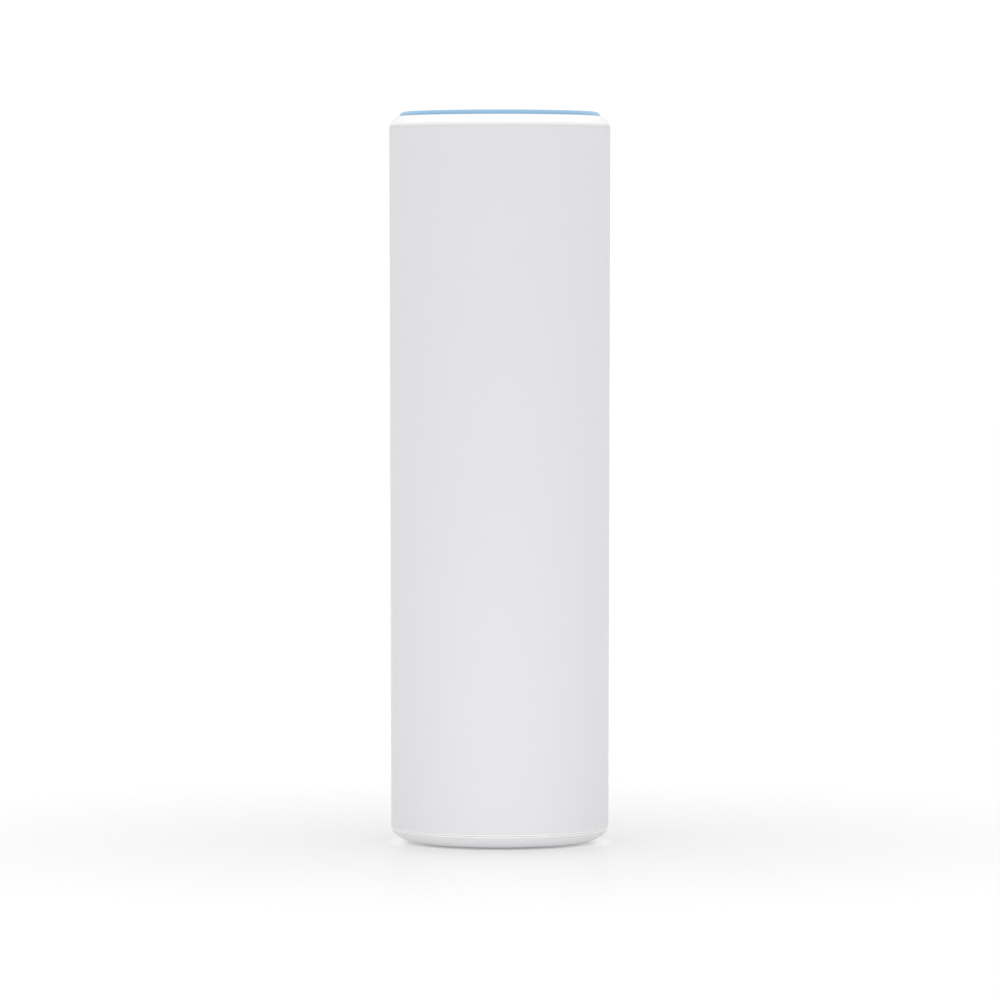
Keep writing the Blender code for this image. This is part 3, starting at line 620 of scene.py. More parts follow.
class Bench:
    """The node tree of one material or world, and the one place where its nodes are made."""

    def __init__(self, name: str, world: bool = False) -> None:
        """Starts an empty tree.

        Args:
            name: The material's or world's name.
            world: Whether it is a world's tree.
        """
        self.owner = bpy.data.worlds.new(name) if world else bpy.data.materials.new(name)
        self.owner.use_nodes = True
        self.tree = self.owner.node_tree
        self.tree.nodes.clear()

    def make(
        self,
        kind: str,
        settings: Mapping[str, object] | None = None,
        sockets: Mapping[Union[int, str], Feed] | None = None,
        output: Union[int, str] = 0,
    ) -> Flow:
        """Adds one node.

        Args:
            kind: The node's type.
            settings: Its own properties, set first; "stops" fills a colour ramp.
            sockets: Values or links for its inputs, by number or name.
            output: Which output to hand back.

        Returns:
            That output.
        """
        node = self.tree.nodes.new(kind)
        for key, value in (settings or {}).items():
            if key == "stops":
                self.fill_ramp(node.color_ramp, value)
            else:
                setattr(node, key, value)
        for key, value in (sockets or {}).items():
            if isinstance(value, Flow):
                self.tree.links.new(value.socket, node.inputs[key])
            else:
                node.inputs[key].default_value = value
        return Flow(self, node.outputs[output]) if node.outputs else Flow(self, node.inputs[0])

    @staticmethod
    def fill_ramp(ramp: bpy.types.ColorRamp, stops: Sequence[tuple[float, Colour]]) -> None:
        """Sets a ramp's stops, each a place from 0 to 1 and a colour."""
        while len(ramp.elements) < len(stops):
            ramp.elements.new(1.0)
        for element, (place, colour) in zip(ramp.elements, stops):
            element.position, element.color = place, (*colour, 1.0)

    def here(self) -> Flow:
        """Object coordinates, in metres."""
        return self.make("ShaderNodeTexCoord", output="Object")

    def axes(self, vector: Flow) -> tuple[Flow, Flow, Flow]:
        """A vector's three numbers."""
        split = self.make("ShaderNodeSeparateXYZ", {}, {0: vector}).socket.node
        return tuple(Flow(self, split.outputs[i]) for i in range(3))

    def vector(self, operation: str, *values: Feed, output: Union[int, str] = 0) -> Flow:
        """One Vector Math node on vectors."""
        return self.make("ShaderNodeVectorMath", {"operation": operation}, dict(enumerate(values)), output)

    def stretched(self, vector: Flow, by: tuple[float, float, float]) -> Flow:
        """A vector times another, number by number."""
        return self.vector("MULTIPLY", vector, by)

    def noise(self, vector: Flow, grain: float, detail: float = 2.0, roughness: float = 0.5) -> Flow:
        """Cloudy noise from 0 to 1.

        Args:
            vector: Where to read it.
            grain: Its size in metres.
            detail: Finer layers.
            roughness: How strong they are.

        Returns:
            The noise.
        """
        sockets = {"Vector": vector, "Scale": 1.0 / grain, "Detail": detail, "Roughness": roughness}
        return self.make("ShaderNodeTexNoise", {}, sockets)

    def cells(self, vector: Flow, grain: float, output: str = "Distance", loose: float = 1.0) -> Flow:
        """Voronoi cells of a size in metres."""
        sockets = {"Vector": vector, "Scale": 1.0 / grain, "Randomness": loose}
        return self.make("ShaderNodeTexVoronoi", {}, sockets, output)

    def blend(self, share: Feed, first: Feed, second: Feed, mode: str = "MIX") -> Flow:
        """Mixes two colours; a share of 1 gives the second."""
        settings = {"data_type": "RGBA", "blend_type": mode}
        values = {0: share, 6: self.opaque(first), 7: self.opaque(second)}
        return self.make("ShaderNodeMix", settings, values, 2)

    @staticmethod
    def opaque(colour: Feed) -> Feed:
        """A plain colour with its fourth number."""
        return colour if isinstance(colour, Flow) else (*colour, 1.0)

    def shaded(self, colour: Feed, by: Flow) -> Flow:
        """A colour made lighter or darker."""
        return self.make("ShaderNodeVectorMath", {"operation": "SCALE"}, {0: colour, "Scale": by})

    def bump(self, height: Flow, depth: float) -> Flow:
        """A normal for a surface whose height from 0 to 1 spans a depth in metres."""
        return self.make("ShaderNodeBump", {}, {"Strength": 1.0, "Distance": depth, "Height": height})

    def surface(self, **sockets: Feed) -> bpy.types.Material:
        """Ends the tree in a Principled shader.

        Args:
            sockets: Values or links, named as the shader's inputs with _ for a space.

        Returns:
            The material.
        """
        named = {key.replace("_", " "): value for key, value in sockets.items()}
        named = {key: self.opaque(value) if key.endswith("Color") else value for key, value in named.items()}
        shader = self.make("ShaderNodeBsdfPrincipled", {}, named)
        self.make("ShaderNodeOutputMaterial", {}, {"Surface": shader})
        return self.owner


# ------------------------------------------------------------------------------- finishes


@dataclass(frozen=True)
class Finish:
    """What every finish has.

    Args:
        name: The material's name.
    """

    name: str

    def material(self) -> bpy.types.Material:
        """Makes the material: a Principled shader fed by the finish's own inputs."""
        bench = Bench(self.name)
        return bench.surface(**self.inputs(bench, bench.here()))

    def inputs(self, bench: Bench, here: Flow) -> dict[str, Feed]:
        """What feeds the shader.

        Args:
            bench: The material's tree.
            here: Object coordinates, in metres.

        Returns:
            Values or links, named as the shader's inputs with _ for a space.
        """
        raise NotImplementedError


@dataclass(frozen=True)
class MouldedPlastic(Finish):
    """Injection-moulded plastic: spark-eroded grain, faint draw lines and a cloudy gloss.

    Args:
        colour: Its own colour.
        roughness: Its mean roughness.
        grain: Size of the eroded texture, in metres.
        grain_depth: Its depth, in metres.
        draw_lines: How much the lines along the draw shade it.
        coat: Weight of a clear gloss over it.
        pale_low: Height where a painted highlight starts: a paler rim that stands in for the light its edge
            catches.
        pale_high: Height where it ends; no higher than pale_low for none.
    """

    colour: Colour = (0.737, 0.733, 0.745)
    roughness: float = 0.46
    grain: float = 0.22 * MM
    grain_depth: float = 0.0022 * MM
    draw_lines: float = 0.008
    coat: float = 0.0
    pale_low: float = 0.0
    pale_high: float = 0.0

    def inputs(self, bench: Bench, here: Flow) -> dict[str, Feed]:
        """Grain from fine noise, draw lines from noise stretched along Z, cloud from coarse noise."""
        cloud = bench.noise(here, 28 * MM)
        grain = bench.noise(here, self.grain, detail=3.0)
        speckle = bench.noise(here, 0.9 * MM, detail=4.0, roughness=0.7)
        drawn = bench.noise(bench.stretched(here, (1.0, 1.0, 0.012)), 1.6 * MM, detail=2.0)
        shade = 1.0 + (cloud - 0.5) * 0.012 + (drawn - 0.5) * self.draw_lines + (speckle - 0.5) * 0.006
        rough = self.roughness + (cloud - 0.5) * 0.10 + (grain - 0.5) * 0.08 + (drawn - 0.5) * 0.06
        tone = bench.shaded(self.colour, shade)
        # Painted highlight: a paler band between two heights, standing in for the light a rim edge catches.
        if self.pale_high > self.pale_low:
            height = bench.axes(here)[2]
            rim = height.above(self.pale_low) * height.below(self.pale_high)
            tone = bench.blend(rim * 0.9, tone, (0.96, 0.96, 0.96))
        return dict(
            Base_Color=tone,
            Roughness=rough,
            Normal=bench.bump(grain, self.grain_depth),
            Coat_Weight=self.coat,
            Coat_Roughness=0.12,
        )


@dataclass(frozen=True)
class PaintedGlowPlastic(MouldedPlastic):
    """Moulded plastic beside the lit ring, with a painted highlight: an emitted glow that grows towards the
    ring and stands in for the light the shoulder catches.

    Args:
        painted_glow_low: Height where the painted glow starts.
        painted_glow_high: Height where it is full.
        painted_glow_strength: How bright the painted glow is there.
    """

    painted_glow_low: float = 154.5 * MM
    painted_glow_high: float = 155.3 * MM
    painted_glow_strength: float = 0.17

    def inputs(self, bench: Bench, here: Flow) -> dict[str, Feed]:
        """The plastic's own inputs, with a painted glow, standing in for a highlight, that grows from the
        seam up to the ring.
        """
        # Painted highlight: emission that rises from the seam up to the ring.
        painted_glow = bench.axes(here)[2].ramp(self.painted_glow_low, self.painted_glow_high)
        return dict(
            super().inputs(bench, here),
            Emission_Color=bench.shaded((1.0, 1.0, 1.0), painted_glow),
            Emission_Strength=self.painted_glow_strength,
        )


@dataclass(frozen=True)
class LitDiffuser(Finish):
    """Milky plastic lit from below by a circle of lights.

    Args:
        colour: Its colour in room light.
        glow: The colour of its own light.
        strength: How bright that light is.
        lights: How many lights stand below it.
        outer: Its outer radius, in metres.
        shaded_low: Height where its painted shade, standing in for the shoulder's shadow, is deepest.
        shaded_high: Height where that painted shade ends.
    """

    colour: Colour = (0.15, 0.29, 0.42)
    glow: Colour = (0.23, 0.42, 0.60)
    strength: float = 0.42
    lights: int = 6
    outer: float = 21.6 * MM
    shaded_low: float = 156.7 * MM
    shaded_high: float = 157.2 * MM

    def inputs(self, bench: Bench, here: Flow) -> dict[str, Feed]:
        """The light swells above each lamp and pales towards the outer rim; colour and glow are painted
        darker low down, as painted shade under the shoulder.
        """
        x, y, z = bench.axes(here)
        angle = y.maths("ARCTAN2", x)
        radius = bench.vector("LENGTH", bench.stretched(here, (1.0, 1.0, 0.0)), output="Value")
        swell = (angle * self.lights + math.pi).maths("COSINE") * 0.5 + 0.5
        cloud = bench.noise(here, 4 * MM, detail=3.0)
        rim = radius.ramp(self.outer - 0.5 * MM, self.outer)
        # Painted shade: darker colour and weaker glow low down, where the shoulder shades the ring.
        foot = z.ramp(self.shaded_low, self.shaded_high)
        level = 0.84 + foot * 0.12 + swell * 0.05 + (cloud - 0.5) * 0.05
        lit = bench.blend(rim * 0.35, self.glow, (0.42, 0.66, 0.86))
        grain = bench.noise(here, 0.16 * MM, detail=2.0)
        return dict(
            Base_Color=bench.shaded(self.colour, 0.88 + foot * 0.09 + cloud * 0.06),
            Roughness=0.30 + (cloud - 0.5) * 0.10,
            Normal=bench.bump(grain, 0.0012 * MM),
            Emission_Color=bench.shaded(lit, level),
            Emission_Strength=self.strength,
        )


@dataclass(frozen=True)
class SoftRubber(Finish):
    """Moulded rubber with a dusty bloom.

    Args:
        colour: Its own colour.
    """

    colour: Colour = (0.22, 0.22, 0.225)

    def inputs(self, bench: Bench, here: Flow) -> dict[str, Feed]:
        """Fine grain, with bloom where coarse noise is high."""
        bloom = bench.noise(here, 5 * MM, detail=5.0, roughness=0.65)
        grain = bench.noise(here, 0.12 * MM, detail=3.0)
        return dict(
            Base_Color=bench.blend(bloom.ramp(0.45, 0.75) * 0.35, self.colour, (0.42, 0.41, 0.40)),
            Roughness=0.72 + bloom * 0.2,
            Normal=bench.bump(grain, 0.006 * MM),
            Sheen_Weight=0.15,
        )


@dataclass(frozen=True)
class FilledPlastic(Finish):
    """Glass-filled structural plastic with flow marks.

    Args:
        colour: Its own colour.
    """

    colour: Colour = (0.045, 0.045, 0.05)

    def inputs(self, bench: Bench, here: Flow) -> dict[str, Feed]:
        """Flow marks are noise bent by coarser noise; fibres are short light streaks."""
        flow = bench.noise(bench.stretched(here, (1.0, 1.0, 0.25)), 3 * MM, detail=4.0, roughness=0.6)
        fibre = bench.noise(bench.stretched(here, (1.0, 1.0, 0.15)), 0.10 * MM)
        return dict(
            Base_Color=bench.blend(fibre.ramp(0.60, 0.74) * 0.5, self.colour, (0.12, 0.12, 0.125)),
            Roughness=0.48 + flow * 0.22,
            Normal=bench.bump(flow * 0.7 + fibre * 0.3, 0.008 * MM),
        )


@dataclass(frozen=True)
class CircuitBoard(Finish):
    """A solder-masked board with runs of copper, gold vias and bare edges.

    Args:
        front: The front face's place along Y.
        back: The back face's place along Y.
        bay_height: How far a run goes before it steps aside.
        jog: The longest step aside.
        run_spacing: How far apart the runs are.
        via_spacing: How far apart the vias are.
    """

    front: float = 0.2 * MM
    back: float = 1.8 * MM
    bay_height: float = 7.3 * MM
    jog: float = 0.9 * MM
    run_spacing: float = 0.62 * MM
    via_spacing: float = 2.1 * MM

    def inputs(self, bench: Bench, here: Flow) -> dict[str, Feed]:
        """Runs are stripes along Z that step sideways from bay to bay; vias are grid dots."""
        x, y, z = bench.axes(here)
        climbed = z / self.bay_height
        bay = climbed.whole()
        hop = (bay * 12.9898).wave() * 43758.5453
        jog = hop.part() * self.jog * climbed.part().ramp(0.80, 0.98)
        placed = (x + jog) / self.run_spacing
        stripe, lane = placed.part(), placed.whole()
        chosen = (lane * 7.31 + bay * 3.17).wave().above(-0.15)
        run = (stripe - 0.5).size().below(0.19) * chosen
        flat = bench.stretched(here, (1.0, 0.0, 1.0))
        copper = run.most(bench.noise(flat, 9 * MM, detail=0.0).above(0.56))
        dots = bench.cells(flat, self.via_spacing, loose=0.75)
        via, hole = dots.below(0.13), dots.below(0.06)
        mask = bench.blend(copper, (0.010, 0.085, 0.045), (0.022, 0.165, 0.085))
        tint = bench.noise(here, 12 * MM)
        mask = bench.shaded(mask, 0.92 + tint * 0.16)
        faced = (y - (self.front + self.back) / 2).size().above((self.back - self.front) / 2 - 0.05 * MM)
        weave = bench.noise(bench.stretched(here, (1.0, 8.0, 1.0)), 0.5 * MM)
        bare = bench.shaded((0.42, 0.36, 0.17), 0.8 + weave * 0.4)
        gold = bench.blend(via * (1 - hole), mask, (0.75, 0.56, 0.22))
        # Painted shade: each drilled hole is a near-black dot standing in for the shade down the hole.
        drilled = bench.blend(hole, gold, (0.015, 0.02, 0.015))
        return dict(
            Base_Color=bench.blend(faced, bare, drilled),
            Roughness=0.30 + (1 - faced) * 0.4 + (tint - 0.5) * 0.12,
            Metallic=via * (1 - hole) * faced,
            Normal=bench.bump(copper * 0.8 + via * 0.2, 0.035 * MM),
            Coat_Weight=0.25 * faced,
            Coat_Roughness=0.15,
        )


@dataclass(frozen=True)
class WhiteBoard(Finish):
    """A white-masked ring board with curved runs and a pair of pads for each lamp.

    Args:
        lights: How many lamps it carries.
    """

    lights: int = 6

    def inputs(self, bench: Bench, here: Flow) -> dict[str, Feed]:
        """Runs follow fixed radii, broken near each lamp; pads glint beside it."""
        x, y, z = bench.axes(here)
        radius = bench.vector("LENGTH", bench.stretched(here, (1.0, 1.0, 0.0)), output="Value")
        turned = (y.maths("ARCTAN2", x) / math.tau + 1.0) * self.lights
        near = ((turned + 0.5).part() - 0.5).size()
        run = ((radius / (0.55 * MM)).part() - 0.5).size().below(0.20)
        run = run * radius.above(15.8 * MM) * radius.below(18.2 * MM) * near.below(0.44)
        pad = radius.above(17.7 * MM) * near.above(0.455) * near.below(0.475)
        cloud = bench.noise(here, 3 * MM, detail=3.0)
        mask = bench.shaded(bench.blend(run, (0.76, 0.76, 0.73), (0.66, 0.66, 0.62)), 0.96 + cloud * 0.08)
        return dict(
            Base_Color=bench.blend(pad, mask, (0.70, 0.68, 0.62)),
            Roughness=0.42 + cloud * 0.1,
            Metallic=pad,
            Normal=bench.bump(run, 0.03 * MM),
        )


@dataclass(frozen=True)
class MouldedChip(Finish):
    """Black epoxy with a dimple at one corner and a faint moulding skin.

    Args:
        dimple: Where its dimple is, in metres.
        dimple_radius: How wide the dimple is.
        colour: Its own colour.
    """

    dimple: tuple[float, float, float] = (0.0, 0.0, 0.0)
    dimple_radius: float = 0.5 * MM
    colour: Colour = (0.018, 0.018, 0.020)

    def inputs(self, bench: Bench, here: Flow) -> dict[str, Feed]:
        """The dimple is a round dip about its own point; the skin is fine noise."""
        away = bench.vector("LENGTH", bench.vector("SUBTRACT", here, self.dimple), output="Value")
        dip = away.ramp(self.dimple_radius, self.dimple_radius * 0.8)
        grain = bench.noise(here, 0.07 * MM, detail=3.0)
        cloud = bench.noise(here, 3 * MM, detail=3.0)
        colour = bench.blend(cloud.ramp(0.4, 0.8) * 0.4, self.colour, (0.045, 0.045, 0.047))
        return dict(
            Base_Color=bench.shaded(colour, 1.0 + dip * 0.6),
            Roughness=0.62 - dip * 0.35 + (cloud - 0.5) * 0.15,
            Normal=bench.bump(grain * 0.06 - dip, 0.08 * MM),
        )


@dataclass(frozen=True)
class ThermalPad(Finish):
    """Filled silicone on a glass cloth."""

    def inputs(self, bench: Bench, here: Flow) -> dict[str, Feed]:
        """The cloth is two sine waves across each other; filler is fine speckle."""
        x, y, z = bench.axes(here)
        turns = math.tau / (0.45 * MM)
        cloth = (x * turns).wave() * (z * turns).wave()
        filler = bench.noise(here, 0.15 * MM, detail=3.0)
        return dict(
            Base_Color=bench.blend(filler, (0.30, 0.36, 0.44), (0.44, 0.49, 0.55)),
            Roughness=0.78 + filler * 0.15,
            Normal=bench.bump(cloth * 0.5 + filler * 0.5, 0.02 * MM),
        )


@dataclass(frozen=True)
class WorkedMetal(Finish):
    """Metal with lines drawn along one direction, cloudy tarnish and fine pits.

    Args:
        colour: Its own colour.
        roughness: Its mean roughness.
        along: How much each axis is squeezed; the smallest is the way the lines run.
        line_width: Width of a drawn line, in metres.
        line_depth: Depth of the lines, in metres.
        tarnish: How strong the darker clouds are.
    """

    colour: Colour = (0.62, 0.63, 0.64)
    roughness: float = 0.34
    along: tuple[float, float, float] = (1.0, 1.0, 0.02)
    line_width: float = 0.12 * MM
    line_depth: float = 0.004 * MM
    tarnish: float = 0.15

    def inputs(self, bench: Bench, here: Flow) -> dict[str, Feed]:
        """Lines are noise stretched along the working direction."""
        lines = bench.noise(bench.stretched(here, self.along), self.line_width, detail=2.0)
        cloud = bench.noise(here, 4 * MM, detail=4.0, roughness=0.6)
        pits = bench.noise(here, 0.09 * MM, detail=2.0)
        shade = 1.0 - cloud.ramp(0.45, 0.85) * self.tarnish + (lines - 0.5) * 0.10
        return dict(
            Base_Color=bench.shaded(self.colour, shade),
            Roughness=self.roughness + (lines - 0.5) * 0.20 + (cloud - 0.5) * 0.18,
            Metallic=1.0,
            Normal=bench.bump(lines * 0.8 + pits * 0.2, self.line_depth),
        )


@dataclass(frozen=True)
class TinnedSteel(Finish):
    """Tin-plated sheet with a faint crystal pattern and handling marks.

    Args:
        colour: Its own colour.
    """

    colour: Colour = (0.68, 0.68, 0.67)

    def inputs(self, bench: Bench, here: Flow) -> dict[str, Feed]:
        """Crystals are Voronoi cells, each a little lighter or darker than the next."""
        crystal = bench.axes(bench.cells(here, 1.8 * MM, "Color"))[0]
        smear = bench.noise(here, 3 * MM, detail=4.0, roughness=0.6)
        fine = bench.noise(bench.stretched(here, (1.0, 1.0, 0.08)), 0.08 * MM)
        return dict(
            Base_Color=bench.shaded(self.colour, 0.93 + crystal * 0.10),
            Roughness=0.22 + crystal * 0.08 + smear.ramp(0.45, 0.75) * 0.18,
            Metallic=1.0,
            Normal=bench.bump(fine * 0.6 + smear * 0.4, 0.004 * MM),
        )


@dataclass(frozen=True)
class TurnedSteel(Finish):
    """A screw's zinc plating with tool rings about its own axis.

    Args:
        centre: A point on the axis.
        axis_scale: 0 along the axis and 1 across it.
    """

    centre: tuple[float, float, float] = (0.0, 0.0, 0.0)
    axis_scale: tuple[float, float, float] = (1.0, 1.0, 0.0)

    def inputs(self, bench: Bench, here: Flow) -> dict[str, Feed]:
        """Rings are a sine of the distance from the axis."""
        out = bench.stretched(bench.vector("SUBTRACT", here, self.centre), self.axis_scale)
        ring = (bench.vector("LENGTH", out, output="Value") * (math.tau / (0.07 * MM))).wave()
        cloud = bench.noise(here, 0.8 * MM, detail=3.0)
        tone = bench.blend(cloud, (0.46, 0.46, 0.48), (0.60, 0.59, 0.55))
        return dict(
            Base_Color=tone,
            Roughness=0.26 + ring * 0.04 + cloud * 0.12,
            Metallic=1.0,
            Normal=bench.bump(ring * 0.5 + cloud * 0.5, 0.003 * MM),
        )


@dataclass(frozen=True)
class PressedFerrite(Finish):
    """Pressed and fired ferrite: dark grey, grainy, with chipped light specks."""

    def inputs(self, bench: Bench, here: Flow) -> dict[str, Feed]:
        """Grains are small Voronoi cells under fine noise."""
        grains = bench.cells(here, 0.20 * MM)
        cloud = bench.noise(here, 1.5 * MM, detail=4.0)
        chip = bench.noise(here, 0.5 * MM, detail=2.0).ramp(0.66, 0.76)
        tone = bench.blend(chip * 0.5, (0.055, 0.055, 0.058), (0.16, 0.16, 0.165))
        return dict(
            Base_Color=bench.shaded(tone, 0.8 + cloud * 0.4),
            Roughness=0.55 + cloud * 0.2,
            Normal=bench.bump(grains * 0.6 + cloud * 0.4, 0.02 * MM),
        )


@dataclass(frozen=True)
class WoundTape(Finish):
    """Yellow polyester tape wound over copper, with the laps showing."""

    def inputs(self, bench: Bench, here: Flow) -> dict[str, Feed]:
        """Laps are steps along Z; wrinkles run round the winding."""
        x, y, z = bench.axes(here)
        lap = (z / (2.3 * MM)).part()
        wrinkle = bench.noise(bench.stretched(here, (1.0, 1.0, 0.2)), 0.9 * MM, detail=3.0)
        tone = bench.blend(lap.ramp(0.0, 0.10), (0.52, 0.34, 0.04), (0.82, 0.58, 0.08))
        return dict(
            Base_Color=bench.shaded(tone, 0.9 + wrinkle * 0.2),
            Roughness=0.28 + wrinkle * 0.25,
            Normal=bench.bump(wrinkle * 0.6 + lap * 0.4, 0.06 * MM),
            Coat_Weight=0.3,
            Coat_Roughness=0.1,
        )


@dataclass(frozen=True)
class CanSleeve(Finish):
    """An electrolytic capacitor: printed sleeve, pale stripe, bare scored top.

    Args:
        axis_x: Where its axis is, across.
        axis_z: Where its axis is, up.
        sleeve_end: Where the sleeve ends, along Y.
    """

    axis_x: float = 0.0
    axis_z: float = 0.0
    sleeve_end: float = -10.6 * MM

    def inputs(self, bench: Bench, here: Flow) -> dict[str, Feed]:
        """The stripe is a narrow angle about the axis; the scored cross is two thin bands."""
        x, y, z = bench.axes(here)
        across, up = x - self.axis_x, z - self.axis_z
        angle = up.maths("ARCTAN2", across)
        stripe = angle.size().below(0.42)
        radius = (across * across + up * up).maths("SQRT")
        top = y.below(self.sleeve_end) * radius.below(2.75 * MM)
        score = across.size().below(0.11 * MM).most(up.size().below(0.11 * MM)) * radius.below(2.1 * MM) * top
        ripple = bench.noise(here, 0.9 * MM, detail=3.0)
        sleeve = bench.blend(stripe, (0.020, 0.024, 0.060), (0.46, 0.47, 0.50))
        tone = bench.blend(top, bench.shaded(sleeve, 0.9 + ripple * 0.2), (0.66, 0.67, 0.68))
        # Painted shade: the scored cross is painted dark grey for the shade in its grooves.
        return dict(
            Base_Color=bench.blend(score, tone, (0.22, 0.22, 0.23)),
            Roughness=0.30 + ripple * 0.12,
            Metallic=top,
            Normal=bench.bump(ripple * 0.15 - score, 0.06 * MM),
        )


@dataclass(frozen=True)
class LeadSheath(Finish):
    """The fluoropolymer skin of a thin lead.

    Args:
        colour: Its own colour.
    """

    colour: Colour = (0.12, 0.12, 0.125)

    def inputs(self, bench: Bench, here: Flow) -> dict[str, Feed]:
        """The braid inside telegraphs through as crossing waves."""
        x, y, z = bench.axes(here)
        turns = math.tau / (0.35 * MM)
        braid = ((x + z) * turns).wave() * ((y + z) * turns).wave()
        cloud = bench.noise(here, 1.2 * MM, detail=3.0)
        return dict(
            Base_Color=bench.shaded(self.colour, 0.85 + cloud * 0.3),
            Roughness=0.34 + cloud * 0.14,
            Normal=bench.bump(braid * 0.5 + 0.5, 0.008 * MM),
        )


@dataclass(frozen=True)
class LampLens(Finish):
    """A white-framed lamp with a yellow phosphor window.

    Args:
        centre: The lamp's middle.
        degrees: How far it is turned about Z.
    """

    centre: tuple[float, float, float] = (0.0, 0.0, 0.0)
    degrees: float = 0.0

    def inputs(self, bench: Bench, here: Flow) -> dict[str, Feed]:
        """The window is a small rectangle in the lamp's own axes; the phosphor is grainy."""
        local = bench.vector("SUBTRACT", here, self.centre)
        rotated = bench.make(
            "ShaderNodeVectorRotate",
            {"rotation_type": "Z_AXIS"},
            {"Vector": local, "Angle": -math.radians(self.degrees)},
        )
        x, y, z = bench.axes(rotated)
        window = x.size().below(0.52 * MM) * y.size().below(0.70 * MM) * z.above(0.0)
        phosphor = bench.noise(here, 0.05 * MM, detail=3.0)
        yellow = bench.shaded((0.86, 0.78, 0.30), 0.8 + phosphor * 0.4)
        return dict(
            Base_Color=bench.blend(window, (0.80, 0.80, 0.78), yellow),
            Roughness=0.25 + phosphor * 0.3,
            Normal=bench.bump(phosphor, 0.004 * MM),
        )


# ------------------------------------------------------------------------------- fitting


def fit(
    name: str, shape: Union[Skin, bpy.types.Mesh], finish: Finish, body: Body, slot: Slot, *replaced: str
) -> bpy.types.Object:
    """Puts a finished piece on its body in place of the frame's plain solids.

    Args:
        name: The piece's name.
        shape: Its skin, or its mesh.
        finish: What it is dressed in.
        body: The body that it rides on.
        slot: The record's slot for its finish; not used.
        replaced: The frame's nodes that it stands for.

    Returns:
        The piece.
    """
    mesh = shape.mesh(name) if isinstance(shape, Skin) else shape
    mesh.name = name
    mesh.shade_smooth()
    mesh.set_sharp_from_angle(angle=math.radians(SHARP_DEGREES))
    mesh.materials.clear()
    mesh.materials.append(finish.material())
    piece = bpy.data.objects.new(name, mesh)
    bpy.context.scene.collection.objects.link(piece)
    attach(piece, body.value)
    if replaced:
        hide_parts(*replaced)
    log.info("%s: %d faces, rides on %s", name, len(mesh.polygons), body.value)
    return piece


def restyle(node: str, finish: Finish) -> None:
    """Gives a carried-over solid of the frame its finish.

    Args:
        node: The solid's name.
        finish: What it is dressed in.
    """
    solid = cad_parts[node]
    material = finish.material()
    if not solid.material_slots:
        solid.data.materials.append(material)
    for place in solid.material_slots:
        place.material = material
    log.info("%s: kept, dressed as %s", node, finish.name)


# ------------------------------------------------------------------------------- casing


